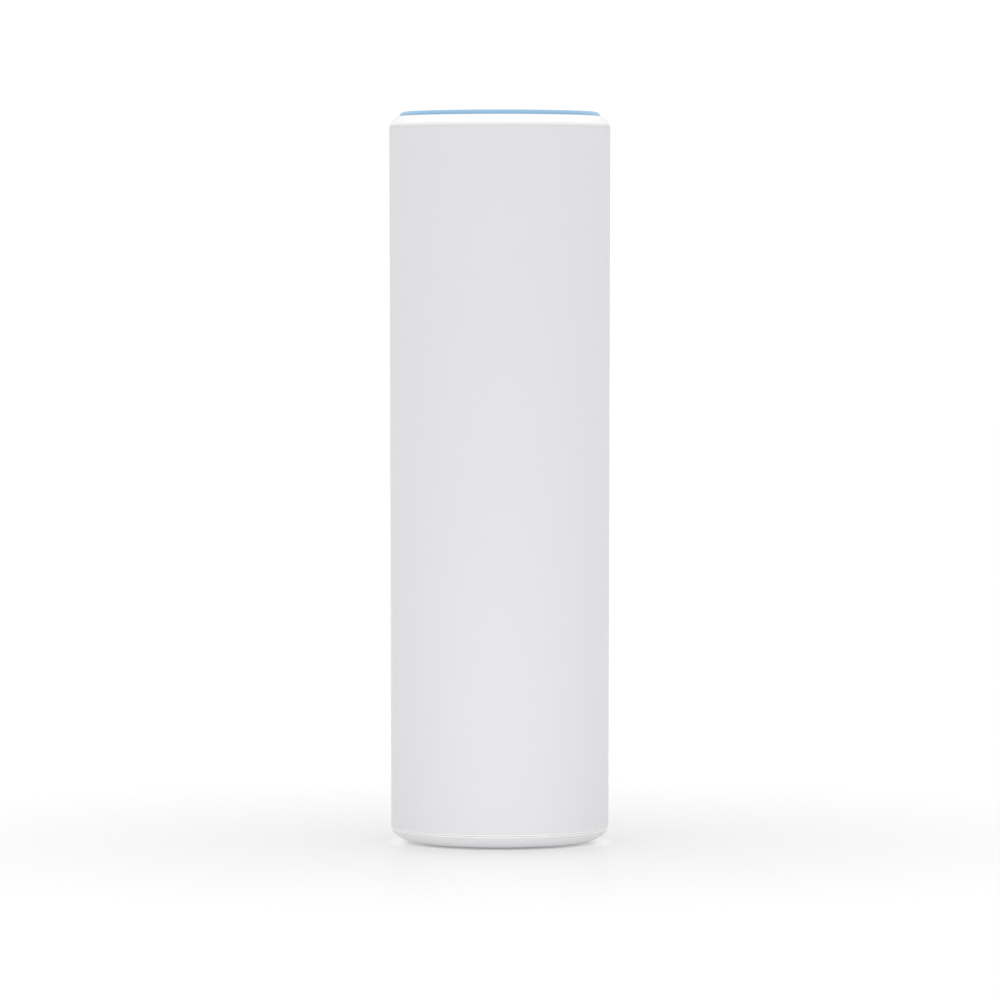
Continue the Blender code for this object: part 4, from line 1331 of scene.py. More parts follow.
@dataclass
class Casing:
    """The white sleeve, its bright shoulder, the lit ring and the lid.

    Args:
        foot_radius: The sleeve's outer radius at its lower end.
        wall: The sleeve's wall.
        joint: The gap that shows at the upper seam.
        micro_round: The rounding of the two lips there.
        shoulder_low: Where the shoulder's rounding starts.
        shoulder_width: How far the rounding draws in.
        shoulder_power: How round it is; 2 is an ellipse and 1 a straight chamfer.
        shoulder_drop: How far its crest lies under the frame's.
        crown_width: Width of the ring's rounded outer edge.
        crown_height: Height of that edge.
        seat: The ledge that carries the ring and the lid.
        skirt_low: The lower end of the shoulder's skirt.
        skirt_wall: The skirt's wall.
        ring_inner: The ring's inner radius.
        pipe: Inner and outer radius of the light pipe under the ring.
        pipe_low: The pipe's lower end, above the lamps.
        lid_radius: The lid's radius.
        lid_dish: How deep the lid is dished.
        arch_width: Width of the cable arch.
        arch_top: The arch's highest point.
        arch_corner: Its corner radius.
        arch_mouth: The radius where it runs out into the rim.
        lower_edge: The radius all along the lower rim.
        blend_height: How far up the columns even out above the arch.
        ledge_inner: The bayonet ledges' inner radius.
        low: The sleeve's lower end.
        seam: Its upper end.
        top_radius: Its widest radius.
        shoulder_high: The shoulder's crest.
        ring_top: The ring's highest point.
    """

    foot_radius: float = 23.5 * MM
    wall: float = 1.8 * MM
    joint: float = 0.02 * MM
    micro_round: float = 0.025 * MM
    shoulder_low: float = 154.0 * MM
    shoulder_width: float = 2.2 * MM
    shoulder_power: float = 1.7
    shoulder_drop: float = 0.10 * MM
    crown_width: float = 1.3 * MM
    crown_height: float = 0.8 * MM
    seat: float = 155.5 * MM
    skirt_low: float = 149.5 * MM
    skirt_wall: float = 1.25 * MM
    ring_inner: float = 18.3 * MM
    pipe: tuple[float, float] = (18.8 * MM, 20.2 * MM)
    pipe_low: float = 152.6 * MM
    lid_radius: float = 18.0 * MM
    lid_dish: float = 0.5 * MM
    arch_width: float = 7.8 * MM
    arch_top: float = 8.6 * MM
    arch_corner: float = 3.4 * MM
    arch_mouth: float = 0.5 * MM
    lower_edge: float = 0.10 * MM
    blend_height: float = 18.0 * MM
    ledge_inner: float = 20.6 * MM
    low: float = field(init=False)
    seam: float = field(init=False)
    top_radius: float = field(init=False)
    shoulder_high: float = field(init=False)
    ring_top: float = field(init=False)

    def __post_init__(self) -> None:
        """Reads the sleeve's ends and widest radius from the frame."""
        low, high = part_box("outer_tube")
        self.low, self.seam, self.top_radius = low.z, high.z, high.x
        self.shoulder_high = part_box("top_bezel")[1].z - self.shoulder_drop
        self.ring_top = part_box("light_ring")[1].z

    def radius_at(self, height: Array | float) -> Array | float:
        """The sleeve's outer radius, which grows evenly from foot to shoulder."""
        share = (height - self.low) / (self.shoulder_low - self.low)
        return self.foot_radius + share * (self.top_radius - self.foot_radius)

    def shoulder_angle(self, height: float) -> float:
        """The angle along the shoulder's quarter superellipse at a height, in degrees."""
        share = (height - self.shoulder_low) / (self.shoulder_high - self.shoulder_low)
        return math.degrees(math.asin(share ** (self.shoulder_power / 2)))

    def shoulder_arc(self, low: float, high: float, steps: int) -> Array:
        """Points up the shoulder.

        Args:
            low: Height of the first point.
            high: Height of the last.
            steps: Stretches between the two.

        Returns:
            Radius and height, one row each.
        """
        return ellipse_arc(
            (self.top_radius - self.shoulder_width, self.shoulder_low),
            self.shoulder_width,
            self.shoulder_high - self.shoulder_low,
            self.shoulder_angle(low),
            self.shoulder_angle(high),
            steps,
            self.shoulder_power,
        )

    def lower_outline(self) -> tuple[Array, Array, Array]:
        """The sleeve's lower rim, unrolled: flat, then up and over the cable arch, then flat.

        Returns:
            Place along the rim, height, and the place where each column ends above the arch.
        """
        half, far = self.arch_width / 2, math.pi * self.foot_radius
        corners = (
            (far, self.low, 0.0),
            (half, self.low, self.arch_mouth),
            (half, self.arch_top, self.arch_corner),
        )
        left = [(-across, up, radius) for across, up, radius in corners]
        rim = soften([*left, *corners[::-1]], steps=14, closed=False)
        length = np.concatenate([[0.0], np.cumsum(np.linalg.norm(np.diff(rim, axis=0), axis=1))])
        near = half + 9 * MM  # how far to each side the columns bunch up
        first, last = far - near, length[-1] - (far - near)
        plain, fine = 84, 120
        spans = ((0.0, first, plain), (first, last, fine), (last, length[-1], plain))
        along = np.concatenate([np.linspace(*span, endpoint=False) for span in spans])
        place, height = np.interp(along, length, rim[:, 0]), np.interp(along, length, rim[:, 1])
        above = place.copy()
        above[plain : plain + fine] = np.linspace(-near, near, fine, endpoint=False)
        return place, height, above

    def sleeve(self) -> bpy.types.Mesh:
        """The sleeve as one grid: columns fan from the arched rim to even spacing above it.

        Each column runs up the outside, over the upper rim and down the inside; near the lower rim
        its rows follow a small round edge, set off from the rim along the rim's own normal.

        Returns:
            The mesh, with the bayonet's ledges joined to its inside.
        """
        place, height, above = self.lower_outline()
        step_place, step_height = np.gradient(place), np.gradient(height)
        step_place[0] = step_place[-1] = abs(step_place[1])
        length = np.hypot(step_place, step_height)
        normal_place, normal_height = -step_height / length, step_place / length
        rows = []

        def row(where: Array, rise: Array | float, inset: float) -> None:
            """Adds a row at places along the rim, at heights, set in from the outside."""
            angle = math.pi / 2 + where / self.foot_radius
            rows.append(polar(self.radius_at(rise) - inset, angle, rise))

        def lip(lean: float) -> tuple[Array, Array, float]:
            """A row's place, height and inset along the round lower edge, from its lean in radians."""
            off, inset = (self.lower_edge * (1 - part(lean)) for part in (math.sin, math.cos))
            return place + off * normal_place, height + off * normal_height, inset

        def fan(share: float, inset: float) -> None:
            """Adds a row that share of the way from the edge to the level row above the arch."""
            across = start_place + share * (above - start_place)
            row(across, start_height + share * (rise_to - start_height), inset)

        start_place = place + self.lower_edge * normal_place
        start_height = height + self.lower_edge * normal_height
        rise_to = self.low + self.blend_height
        shares = np.linspace(0.0, 1.0, 16)[1:]
        for lean in np.radians([90.0, 67.5, 45.0, 22.5, 0.0]):
            row(*lip(lean))
        for share in shares:
            fan(share, 0.0)
        for rise in np.linspace(rise_to, self.shoulder_low, 10)[1:]:
            row(above, rise, 0.0)
        small = self.micro_round
        crest = self.shoulder_arc(self.shoulder_low, self.seam - small, 4)[1:]
        rim = ellipse_arc((crest[-1, 0] - small, self.seam - small), small, small, 0, 90, 4)[1:]
        for radius, rise in np.vstack([crest, rim]):
            row(above, rise, self.radius_at(rise) - radius)
        inside = np.linspace(rise_to, self.shoulder_low, 6)[:-1][::-1]
        for rise in (self.seam, self.seam - 0.2 * MM, self.shoulder_low, *inside):
            row(above, rise, self.wall)
        for share in shares[:-1][::-1]:
            fan(share, self.wall)
        for lean in np.radians([0.0, 45.0, 90.0]):
            where, rise, inset = lip(lean)
            row(where, rise, self.wall - inset)
        return joined("tall_sleeve", Skin.of_grid(np.stack(rows), wrap_rows=True), added=self.ledges())

    def ledges(self) -> list[Skin]:
        """The three ledges that the cap's lugs turn over, each with its stop."""
        into_wall = self.foot_radius - self.wall / 2
        bars = ((5.0 * MM, 6.8 * MM, 8.0), (5.6 * MM, 9.4 * MM, 21.2))
        return [
            arc_bar(self.ledge_inner, into_wall, low, high, lug + start, lug + 24.0, 0.25 * MM)
            for lug in LUGS
            for low, high, start in bars
        ]

    def shoulder(self) -> Skin:
        """The shoulder with its skirt: rounded top, ledge for the ring, and a slightly round lower lip."""
        inner, small = self.top_radius - self.shoulder_width, self.micro_round
        lip = self.seam + self.joint
        skirt = self.radius_at(self.seam) - self.wall - GAP
        arc = self.shoulder_arc(lip + small, self.shoulder_high, 22)
        edge = ellipse_arc((arc[0, 0] - small, lip + small), small, small, -90, 0, 4)[:-1]
        mouth = soften(
            [
                (*arc[-1], 0.0),
                (inner, self.shoulder_high, 0.10 * MM),
                (inner, self.seat, 0.0),
                (skirt - self.skirt_wall, self.seat, 0.1 * MM),
                (skirt - self.skirt_wall, self.skirt_low, 0.2 * MM),
                (skirt, self.skirt_low, 0.3 * MM),
                (skirt, lip, 0.0),
            ],
            closed=False,
        )
        arc[-1, 0] += 0.12 * MM
        return turn(np.vstack([edge, arc, mouth[1:]]), 256)

    def ring(self) -> Skin:
        """The lit ring: a crowned lip above the shoulder and a light pipe below."""
        outer, low = self.top_radius - self.shoulder_width - self.joint, self.seat + GAP
        centre = (outer - self.crown_width, self.ring_top - self.crown_height)
        crown = ellipse_arc(centre, self.crown_width, self.crown_height, 0, 90, 20)
        corners = soften(
            [
                (*crown[-1], 0.0),
                (self.ring_inner, self.ring_top, 0.25 * MM),
                (self.ring_inner, low, 0.1 * MM),
                (self.pipe[0], low, 0.2 * MM),
                (self.pipe[0], self.pipe_low, 0.2 * MM),
                (self.pipe[1], self.pipe_low, 0.2 * MM),
                (self.pipe[1], low, 0.2 * MM),
                (outer, low, 0.1 * MM),
                (*crown[0], 0.0),
            ],
            closed=False,
        )
        return turn(np.vstack([crown, corners[1:-1]]), 256)

    def lid(self) -> Skin:
        """The dished lid, deepest at the middle by the square of the radius."""
        radius, low, high = self.lid_radius, self.seat + GAP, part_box("top_cap")[1].z
        share = np.linspace(0.96, 0.0, 24)
        bowl = np.column_stack([radius * share, high - self.lid_dish * (1 - share**2)])
        corners = [(0.0, low, 0.0), (radius, low, 0.15 * MM), (radius, high, 0.25 * MM), (*bowl[0], 0.0)]
        return turn(np.vstack([soften(corners, closed=False)[:-1], bowl]), 256)

    def build(self) -> None:
        """Makes and dresses the four pieces."""
        # Painted highlight: a paler band along the sleeve's lower rim.
        white = MouldedPlastic("white_shell", pale_low=self.low - 1 * MM, pale_high=self.low + 0.22 * MM)
        fit("tall_sleeve", self.sleeve(), white, Body.CASING, Slot.WHITE_SHELL, "outer_tube")
        # The shoulder carries a painted highlight, an emitted glow towards the ring.
        bright = PaintedGlowPlastic("bright_shell", (0.80, 0.80, 0.803), 0.28, grain_depth=0.0006 * MM, coat=0.5)
        fit("bright_shoulder", self.shoulder(), bright, Body.CASING, Slot.BRIGHT_SHELL, "top_bezel")
        fit("status_ring", self.ring(), LitDiffuser("lit_ring"), Body.CASING, Slot.LIT_RING, "light_ring")
        fit("lid_disc", self.lid(), MouldedPlastic("lid_white"), Body.CASING, Slot.WHITE_SHELL, "top_cap")


# ------------------------------------------------------------------------------- base


@dataclass
class TwistFoot:
    """The foot that stays on the desk: cap, rubber ring and seal.

    Args:
        rim_radius: The cap's outer radius at its upper rim.
        edge_power: How round the lower edge is; 2 is an ellipse and 1 a straight chamfer.
        flat_radius: Where the flat underside turns up.
        float_gap: How far the underside stands off the desk.
        pad_inner: The rubber ring's inner radius.
        pad_outer: Its outer radius.
        pad_thick: Its thickness.
        collar_inner: The collar's inner radius.
        collar_outer: The collar's outer radius.
        slot_half: Half the width of the collar's cable slot.
        lug_outer: How far out the lugs reach.
        rim_edge: The radius of the upper rim's edge.
        seam: How far the rim stops short of the sleeve.
        rim_top: The rim's height.
        floor_top: The height of the floor inside the collar.
    """

    rim_radius: float = 23.45 * MM
    edge_power: float = 1.6
    flat_radius: float = 18.9 * MM
    float_gap: float = 0.3 * MM
    pad_inner: float = 11.0 * MM
    pad_outer: float = 16.6 * MM
    pad_thick: float = 1.0 * MM
    collar_inner: float = 18.9 * MM
    collar_outer: float = 20.3 * MM
    slot_half: float = 9.2 * MM
    lug_outer: float = 21.4 * MM
    rim_edge: float = 0.08 * MM
    seam: float = 0.06 * MM
    rim_top: float = field(init=False)
    floor_top: float = field(init=False)

    def __post_init__(self) -> None:
        """The rim stops a hair below the sleeve; the inner floor lies a gap below its end."""
        sleeve_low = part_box("outer_tube")[0].z
        self.rim_top, self.floor_top = sleeve_low - self.seam, sleeve_low - GAP

    def cap(self) -> bpy.types.Mesh:
        """The cap: a disc with a blunt round edge, a collar open at the back, and three lugs."""
        edge = ellipse_arc(
            (self.flat_radius, self.rim_top - self.rim_edge),
            self.rim_radius - self.flat_radius,
            self.rim_top - self.rim_edge - self.float_gap,
            -90,
            0,
            24,
            self.edge_power,
        )
        centre = (self.rim_radius - self.rim_edge, self.rim_top - self.rim_edge)
        rim = ellipse_arc(centre, self.rim_edge, self.rim_edge, 0, 90, 5)[1:]
        recess, low = self.pad_thick + GAP, self.float_gap
        under = soften(
            [
                (0.0, low + 0.2 * MM, 0.0),
                (1.1 * MM, low + 0.2 * MM, 0.0),
                (1.3 * MM, low, 0.0),
                (self.pad_inner - GAP, low, 0.1 * MM),
                (self.pad_inner - GAP, recess, 0.1 * MM),
                (self.pad_outer + GAP, recess, 0.1 * MM),
                (self.pad_outer + GAP, low, 0.1 * MM),
                (*edge[0], 0.0),
            ],
            closed=False,
        )
        shelf = soften(
            [
                (*rim[-1], 0.0),
                (self.collar_outer + 0.7 * MM, self.rim_top, 0.0),
                (self.collar_outer + 0.6 * MM, self.floor_top, 0.0),
                (0.0, self.floor_top, 0.0),
            ],
            closed=False,
        )
        disc = turn(np.vstack([under[:-1], edge, rim, shelf[1:]]), 256)
        middle = (self.collar_inner + self.collar_outer) / 2
        open_by = math.degrees(math.asin(self.slot_half / middle))
        collar = arc_bar(
            self.collar_inner,
            self.collar_outer,
            self.floor_top - 0.6 * MM,
            9.0 * MM,
            90 + open_by,
            450 - open_by,
            0.3 * MM,
        )
        lugs = [
            arc_bar(middle, self.lug_outer, 7.1 * MM, 8.9 * MM, angle - 5.0, angle + 5.0, 0.35 * MM, 1.0)
            for angle in LUGS
        ]
        return joined("twist_cap", disc, added=[collar, *lugs])

    def pad(self) -> Skin:
        """The rubber ring, with two shallow grooves underneath."""
        groove, depth = 0.5 * MM, 0.25 * MM
        places = (self.pad_inner + 1.9 * MM, self.pad_outer - 1.9 * MM)
        corners = [(self.pad_inner, self.pad_thick, 0.1 * MM), (self.pad_inner, 0.0, 0.3 * MM)]
        steps = ((-groove, 0.0), (-groove / 2, depth), (groove / 2, depth), (groove, 0.0))
        corners += [(place + across, up, 0.1 * MM) for place in places for across, up in steps]
        corners += [(self.pad_outer, 0.0, 0.3 * MM), (self.pad_outer, self.pad_thick, 0.1 * MM)]
        return turn(soften(corners), 160)

    def seal(self) -> Skin:
        """The seal: an oval section carried round the collar, open where the cable leaves."""
        low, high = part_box("base_seal")
        outer, inner = high.x, self.collar_outer + GAP
        centre = (inner + outer) / 2
        open_by = math.degrees(math.asin(4.5 * MM / centre))
        angle = np.radians(np.linspace(90 + open_by, 450 - open_by, 150))
        path = polar(centre, angle, (low.z + high.z) / 2)
        section = ellipse_arc((0.0, 0.0), (outer - inner) / 2, (high.z - low.z) / 2, 0, 345, 23)
        size = np.ones(150)
        size[[0, 1, -2, -1]] = (0.6, 0.9, 0.9, 0.6)
        return sweep(section, path, (0.0, 0.0, 1.0), size)

    def build(self) -> None:
        """Makes and dresses the three pieces."""
        # Painted highlight: a paler band along the cap's upper rim.
        pale_low, pale_high = self.rim_top - 0.20 * MM, self.rim_top + 0.01 * MM
        white = MouldedPlastic("cap_white", pale_low=pale_low, pale_high=pale_high)
        fit("twist_cap", self.cap(), white, Body.FOOT, Slot.WHITE_SHELL, "base_cap")
        fit("rubber_foot", self.pad(), SoftRubber("foot_rubber"), Body.FOOT, Slot.SOFT_RUBBER, "foot_pad")
        seal = SoftRubber("seal_rubber", (0.30, 0.30, 0.31))
        fit("collar_seal", self.seal(), seal, Body.SEAL, Slot.SOFT_RUBBER, "base_seal")


# ------------------------------------------------------------------------------- screws


class Pointing(Enum):
    """Which way a screw's tip points."""

    UP = "up"
    BACK = "back"


@dataclass
class PanScrew:
    """A pan-head screw with a six-lobed socket and a rolled thread.

    Args:
        name: The piece's name.
        seat: Where its head's underside sits.
        pointing: Which way its tip points.
        head_radius: The head's radius.
        head_height: The head's height.
        length: From seat to tip.
        radius: The thread's outer radius.
        pitch: The thread's pitch.
        thread_depth: The thread's depth.
    """

    name: str
    seat: tuple[float, float, float]
    pointing: Pointing
    head_radius: float
    head_height: float
    length: float
    radius: float = 0.9 * MM
    pitch: float = 0.55 * MM
    thread_depth: float = 0.16 * MM

    def skin(self) -> Skin:
        """One grid: socket rows swell with the cosine of six times the angle, thread rows draw in by a
        triangle wave of height over pitch plus angle over a full turn.

        Returns:
            The screw's skin, seated and pointing its way.
        """
        socket, floor = self.head_radius * 0.42, -self.head_height * 0.35
        head = soften(
            [
                (socket, -self.head_height, 0.0),
                (self.head_radius * 0.80, -self.head_height, 0.25 * self.head_height),
                (self.head_radius, -self.head_height * 0.35, 0.3 * self.head_height),
                (self.head_radius, 0.0, 0.04 * MM),
                (self.radius, 0.0, 0.0),
            ],
            closed=False,
        )
        rise = np.linspace(0.1 * MM, self.length - self.radius, round(self.length / self.pitch * 7))
        shank = np.column_stack([np.full(len(rise), self.radius), rise])
        tip = np.array([[self.radius * 0.55, self.length], [0.0, self.length]])
        profile = np.vstack([[[0.0, floor], [socket * 0.98, floor]], head, shank, tip])
        angle = np.linspace(0.0, math.tau, 36, endpoint=False)
        lobed = np.zeros(len(profile))
        lobed[1:3] = 0.16
        threaded = np.zeros(len(profile))
        threaded[2 + len(head) : -2] = self.thread_depth
        turns = profile[:, 1:] / self.pitch + angle / math.tau
        groove = np.abs(2 * (turns - np.floor(turns)) - 1)
        radius = profile[:, :1] * (1 + lobed[:, None] * np.cos(6 * angle)) - threaded[:, None] * groove
        made = Skin.of_grid(polar(radius, angle, profile[:, 1:]), wrap_rows=False)
        if self.pointing is Pointing.BACK:
            made = made.turned("X", -90.0)
        return made.moved(*self.seat)

    def build(self) -> None:
        """Makes and dresses the screw in place of the frame's one."""
        across = (1.0, 1.0, 0.0) if self.pointing is Pointing.UP else (1.0, 0.0, 1.0)
        finish = TurnedSteel(f"{self.name}_steel", self.seat, across)
        fit(f"{self.name}_threaded", self.skin(), finish, Body.CASING, Slot.SCREW_STEEL, self.name)


# ------------------------------------------------------------------------------- connector bay


@dataclass
class ConnectorBay:
    """The upturned well with the network jack, the reset button and two screws in its ceiling.

    Args:
        outer: The well's outer radius.
        inner: Its inner radius.
        jack_y: The jack's middle along Y.
        jack_width: The jack's width.
        jack_depth: The jack's size along Y.
        shield_wall: The thickness of the jack's shell.
        plug_width: The width of the plug's bay.
        plug_depth: How far the plug goes in.
        reset: Where the reset button's axis is.
        reset_radius: The button's radius.
        screw_place: Where the right-hand screw's axis is.
        contacts: How many contacts the jack has.
        pitch: Their spacing.
        low: The well's lower lip.
        top: Its upper face.
        ceiling: The face that shows from below.
    """

    outer: float = 21.4 * MM
    inner: float = 20.4 * MM
    jack_y: float = -7.1 * MM
    jack_width: float = 15.2 * MM
    jack_depth: float = 12.8 * MM
    shield_wall: float = 0.3 * MM
    plug_width: float = 11.9 * MM
    plug_depth: float = 15.0 * MM
    reset: tuple[float, float] = (11.0 * MM, 4.6 * MM)
    reset_radius: float = 1.5 * MM
    screw_place: tuple[float, float] = (16.6 * MM, 6.0 * MM)
    contacts: int = 8
    pitch: float = 1.02 * MM
    low: float = field(init=False)
    top: float = field(init=False)
    ceiling: float = field(init=False)

    def __post_init__(self) -> None:
        """Reads the well's ends from the frame; its ceiling is 2 mm thick."""
        low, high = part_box("connector_well")
        self.low, self.top, self.ceiling = low.z, high.z, high.z - 2.0 * MM

    def rod(self, x: float, y: float, radius: float) -> Skin:
        """A round cutter through the ceiling at a place, of a radius."""
        low, high = self.ceiling - 2 * MM, self.top + 2 * MM
        return turn(np.array([[0.0, low], [radius, low], [radius, high], [0.0, high]]), 48).moved(x, y)

    def well(self) -> bpy.types.Mesh:
        """The cup: lip and ceiling rounded, a frame round the jack, and its holes cut."""
        corners = [
            (0.0, self.ceiling, 0.0),
            (self.inner, self.ceiling, 0.8 * MM),
            (self.inner, self.low, 0.3 * MM),
            (self.outer, self.low, 0.3 * MM),
            (self.outer, self.top, 0.4 * MM),
            (0.0, self.top, 0.0),
        ]
        cup = turned_solid(corners, 160, steps=6)
        half_width = self.jack_width / 2 + 2 * GAP + self.shield_wall
        half_depth = self.jack_depth / 2 + 2 * GAP + self.shield_wall
        border = 1.1 * MM
        surround = rounded_box(
            (-half_width - border, self.jack_y - half_depth - border, self.ceiling - 0.4 * MM),
            (half_width + border, self.jack_y + half_depth + border, self.ceiling + 1.0 * MM),
            0.35 * MM,
        )
        window = rounded_box(
            (-half_width, self.jack_y - half_depth, self.ceiling - 2 * MM),
            (half_width, self.jack_y + half_depth, self.top + 2 * MM),
            0.05 * MM,
        )
        radius, under, over = self.reset_radius + 1.3 * MM, self.ceiling - 0.3 * MM, self.ceiling + 1 * MM
        corners = [(0.0, under, 0.0), (radius, under, 0.2 * MM), (radius, over, 0.0), (0.0, over, 0.0)]
        boss = turned_solid(corners, 64).moved(*self.reset)
        holes = [self.rod(*self.reset, self.reset_radius + GAP)]
        holes += [self.rod(side * self.screw_place[0], self.screw_place[1], 1.2 * MM) for side in (-1, 1)]
        return joined("plug_well", cup, added=[surround, boss], cut=[window, *holes])

    def jack(self) -> bpy.types.Mesh:
        """The jack's body with its bay, latch channel and key slot."""
        half_width, half_depth = self.jack_width / 2, self.jack_depth / 2
        low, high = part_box("ethernet_jack")[0].z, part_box("ethernet_jack")[1].z
        near, far = self.jack_y - half_depth, self.jack_y + half_depth
        block = rounded_box((-half_width, near, low), (half_width, far, high), 0.2 * MM)
        bay_top = low + self.plug_depth
        front, back = self.jack_y - 4.4 * MM, self.jack_y + 2.4 * MM
        bays = (
            (self.plug_width / 2, front, back, bay_top, 0.15 * MM),
            (3.1 * MM, back - 0.5 * MM, back + 1.7 * MM, bay_top - 3 * MM, 0.1 * MM),
            (1.7 * MM, back - 0.2 * MM, back + 2.9 * MM, low + 7.5 * MM, 0.1 * MM),
        )
        cuts = [
            rounded_box((-half, start, low - 2 * MM), (half, end, top), edge)
            for half, start, end, top, edge in bays
        ]
        return joined("jack_body", block, cut=cuts)

    def shield(self) -> bpy.types.Mesh:
        """The folded shell: a rounded box hollowed from below."""
        low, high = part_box("jack_shield")
        wall = self.shield_wall
        shell = rounded_box(low, high, 0.35 * MM)
        inner_low = (low.x + wall, low.y + wall, low.z - 2 * MM)
        inner_high = (high.x - wall, high.y - wall, high.z - wall)
        return joined("jack_shell", shell, cut=[rounded_box(inner_low, inner_high, 0.1 * MM)])

    def contact_comb(self) -> Skin:
        """Eight sprung wires, each a flattened round section carried from the bar into the bay."""
        low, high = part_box("jack_contacts")
        comb = rounded_box((low.x, low.y, high.z - 0.8 * MM), (high.x, low.y + 0.45 * MM, high.z), 0.1 * MM)
        share = np.linspace(0.0, 1.0, 14)
        bent = low.y + 0.25 * MM + (high.y - low.y - 0.5 * MM) * share**1.4
        drop = high.z - 0.4 * MM + (low.z - high.z + 0.5 * MM) * share
        section = rounded_rectangle(0.45 * MM, 0.26 * MM, 0.1 * MM, 2)
        size = np.where((share == 0) | (share == 1), 0.7, 1.0)
        wire = sweep(section, np.column_stack([0 * share, bent, drop]), (0.0, 1.0, 0.0), size)
        for number in range(self.contacts):
            comb = comb + wire.moved((number - (self.contacts - 1) / 2) * self.pitch)
        return comb

    def plunger(self) -> Skin:
        """The reset button: a slightly hollow tip, a shank and a flange."""
        low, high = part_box("reset_button")
        wide = (high.x - low.x) / 2
        flange_low = self.top + GAP
        corners = [
            (0.0, low.z + 0.12 * MM, 0.0),
            (self.reset_radius * 0.55, low.z, 0.3 * MM),
            (self.reset_radius, low.z, 0.3 * MM),
            (self.reset_radius, flange_low, 0.1 * MM),
            (wide, flange_low, 0.1 * MM),
            (wide, high.z, 0.15 * MM),
            (0.0, high.z, 0.0),
        ]
        return turned_solid(corners, 64).moved(*self.reset)

    def stem(self) -> Skin:
        """The switch's own round stem."""
        low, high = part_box("switch_stem")
        wide = (high.x - low.x) / 2
        corners = [(0.0, low.z, 0.0), (wide, low.z, 0.15 * MM), (wide, high.z, 0.1 * MM), (0.0, high.z, 0.0)]
        return turned_solid(corners, 32).moved(*self.reset)

    def build(self) -> None:
        """Makes and dresses the bay."""
        gold = (0.86, 0.62, 0.22), 0.20, (1.0, 1.0, 0.05), 0.05 * MM, 0.001 * MM, 0.05
        white = MouldedPlastic("well_white", (0.72, 0.72, 0.73), 0.5, grain_depth=0.004 * MM)
        black = MouldedPlastic("jack_black", (0.016, 0.016, 0.018), 0.38, draw_lines=0.0)
        tin, plated = TinnedSteel("jack_tin"), WorkedMetal("contact_gold", *gold)
        dull = MouldedPlastic("button_black", (0.03, 0.03, 0.032), 0.42, draw_lines=0.0)
        pin = FilledPlastic("stem_black")
        for piece in (
            ("plug_well", self.well(), white, Body.CASING, Slot.WHITE_SHELL, "connector_well"),
            ("jack_body", self.jack(), black, Body.CASING, Slot.CHIP_BLACK, "ethernet_jack"),
            ("jack_shell", self.shield(), tin, Body.CASING, Slot.TINNED_STEEL, "jack_shield"),
            ("contact_wires", self.contact_comb(), plated, Body.CASING, Slot.GOLD_CONTACTS, "jack_contacts"),
            ("reset_plunger", self.plunger(), dull, Body.BUTTON, Slot.CHIP_BLACK, "reset_button"),
            ("switch_pin", self.stem(), pin, Body.BUTTON, Slot.INNER_PLASTIC, "switch_stem"),
        ):
            fit(*piece)
        for side, word in LEFT_RIGHT:
            seat = (side * self.screw_place[0], self.screw_place[1], self.ceiling - GAP)
            PanScrew(f"well_screw_{word}", seat, Pointing.UP, 1.8 * MM, 1.2 * MM, 7.8 * MM).build()


# ------------------------------------------------------------------------------- core


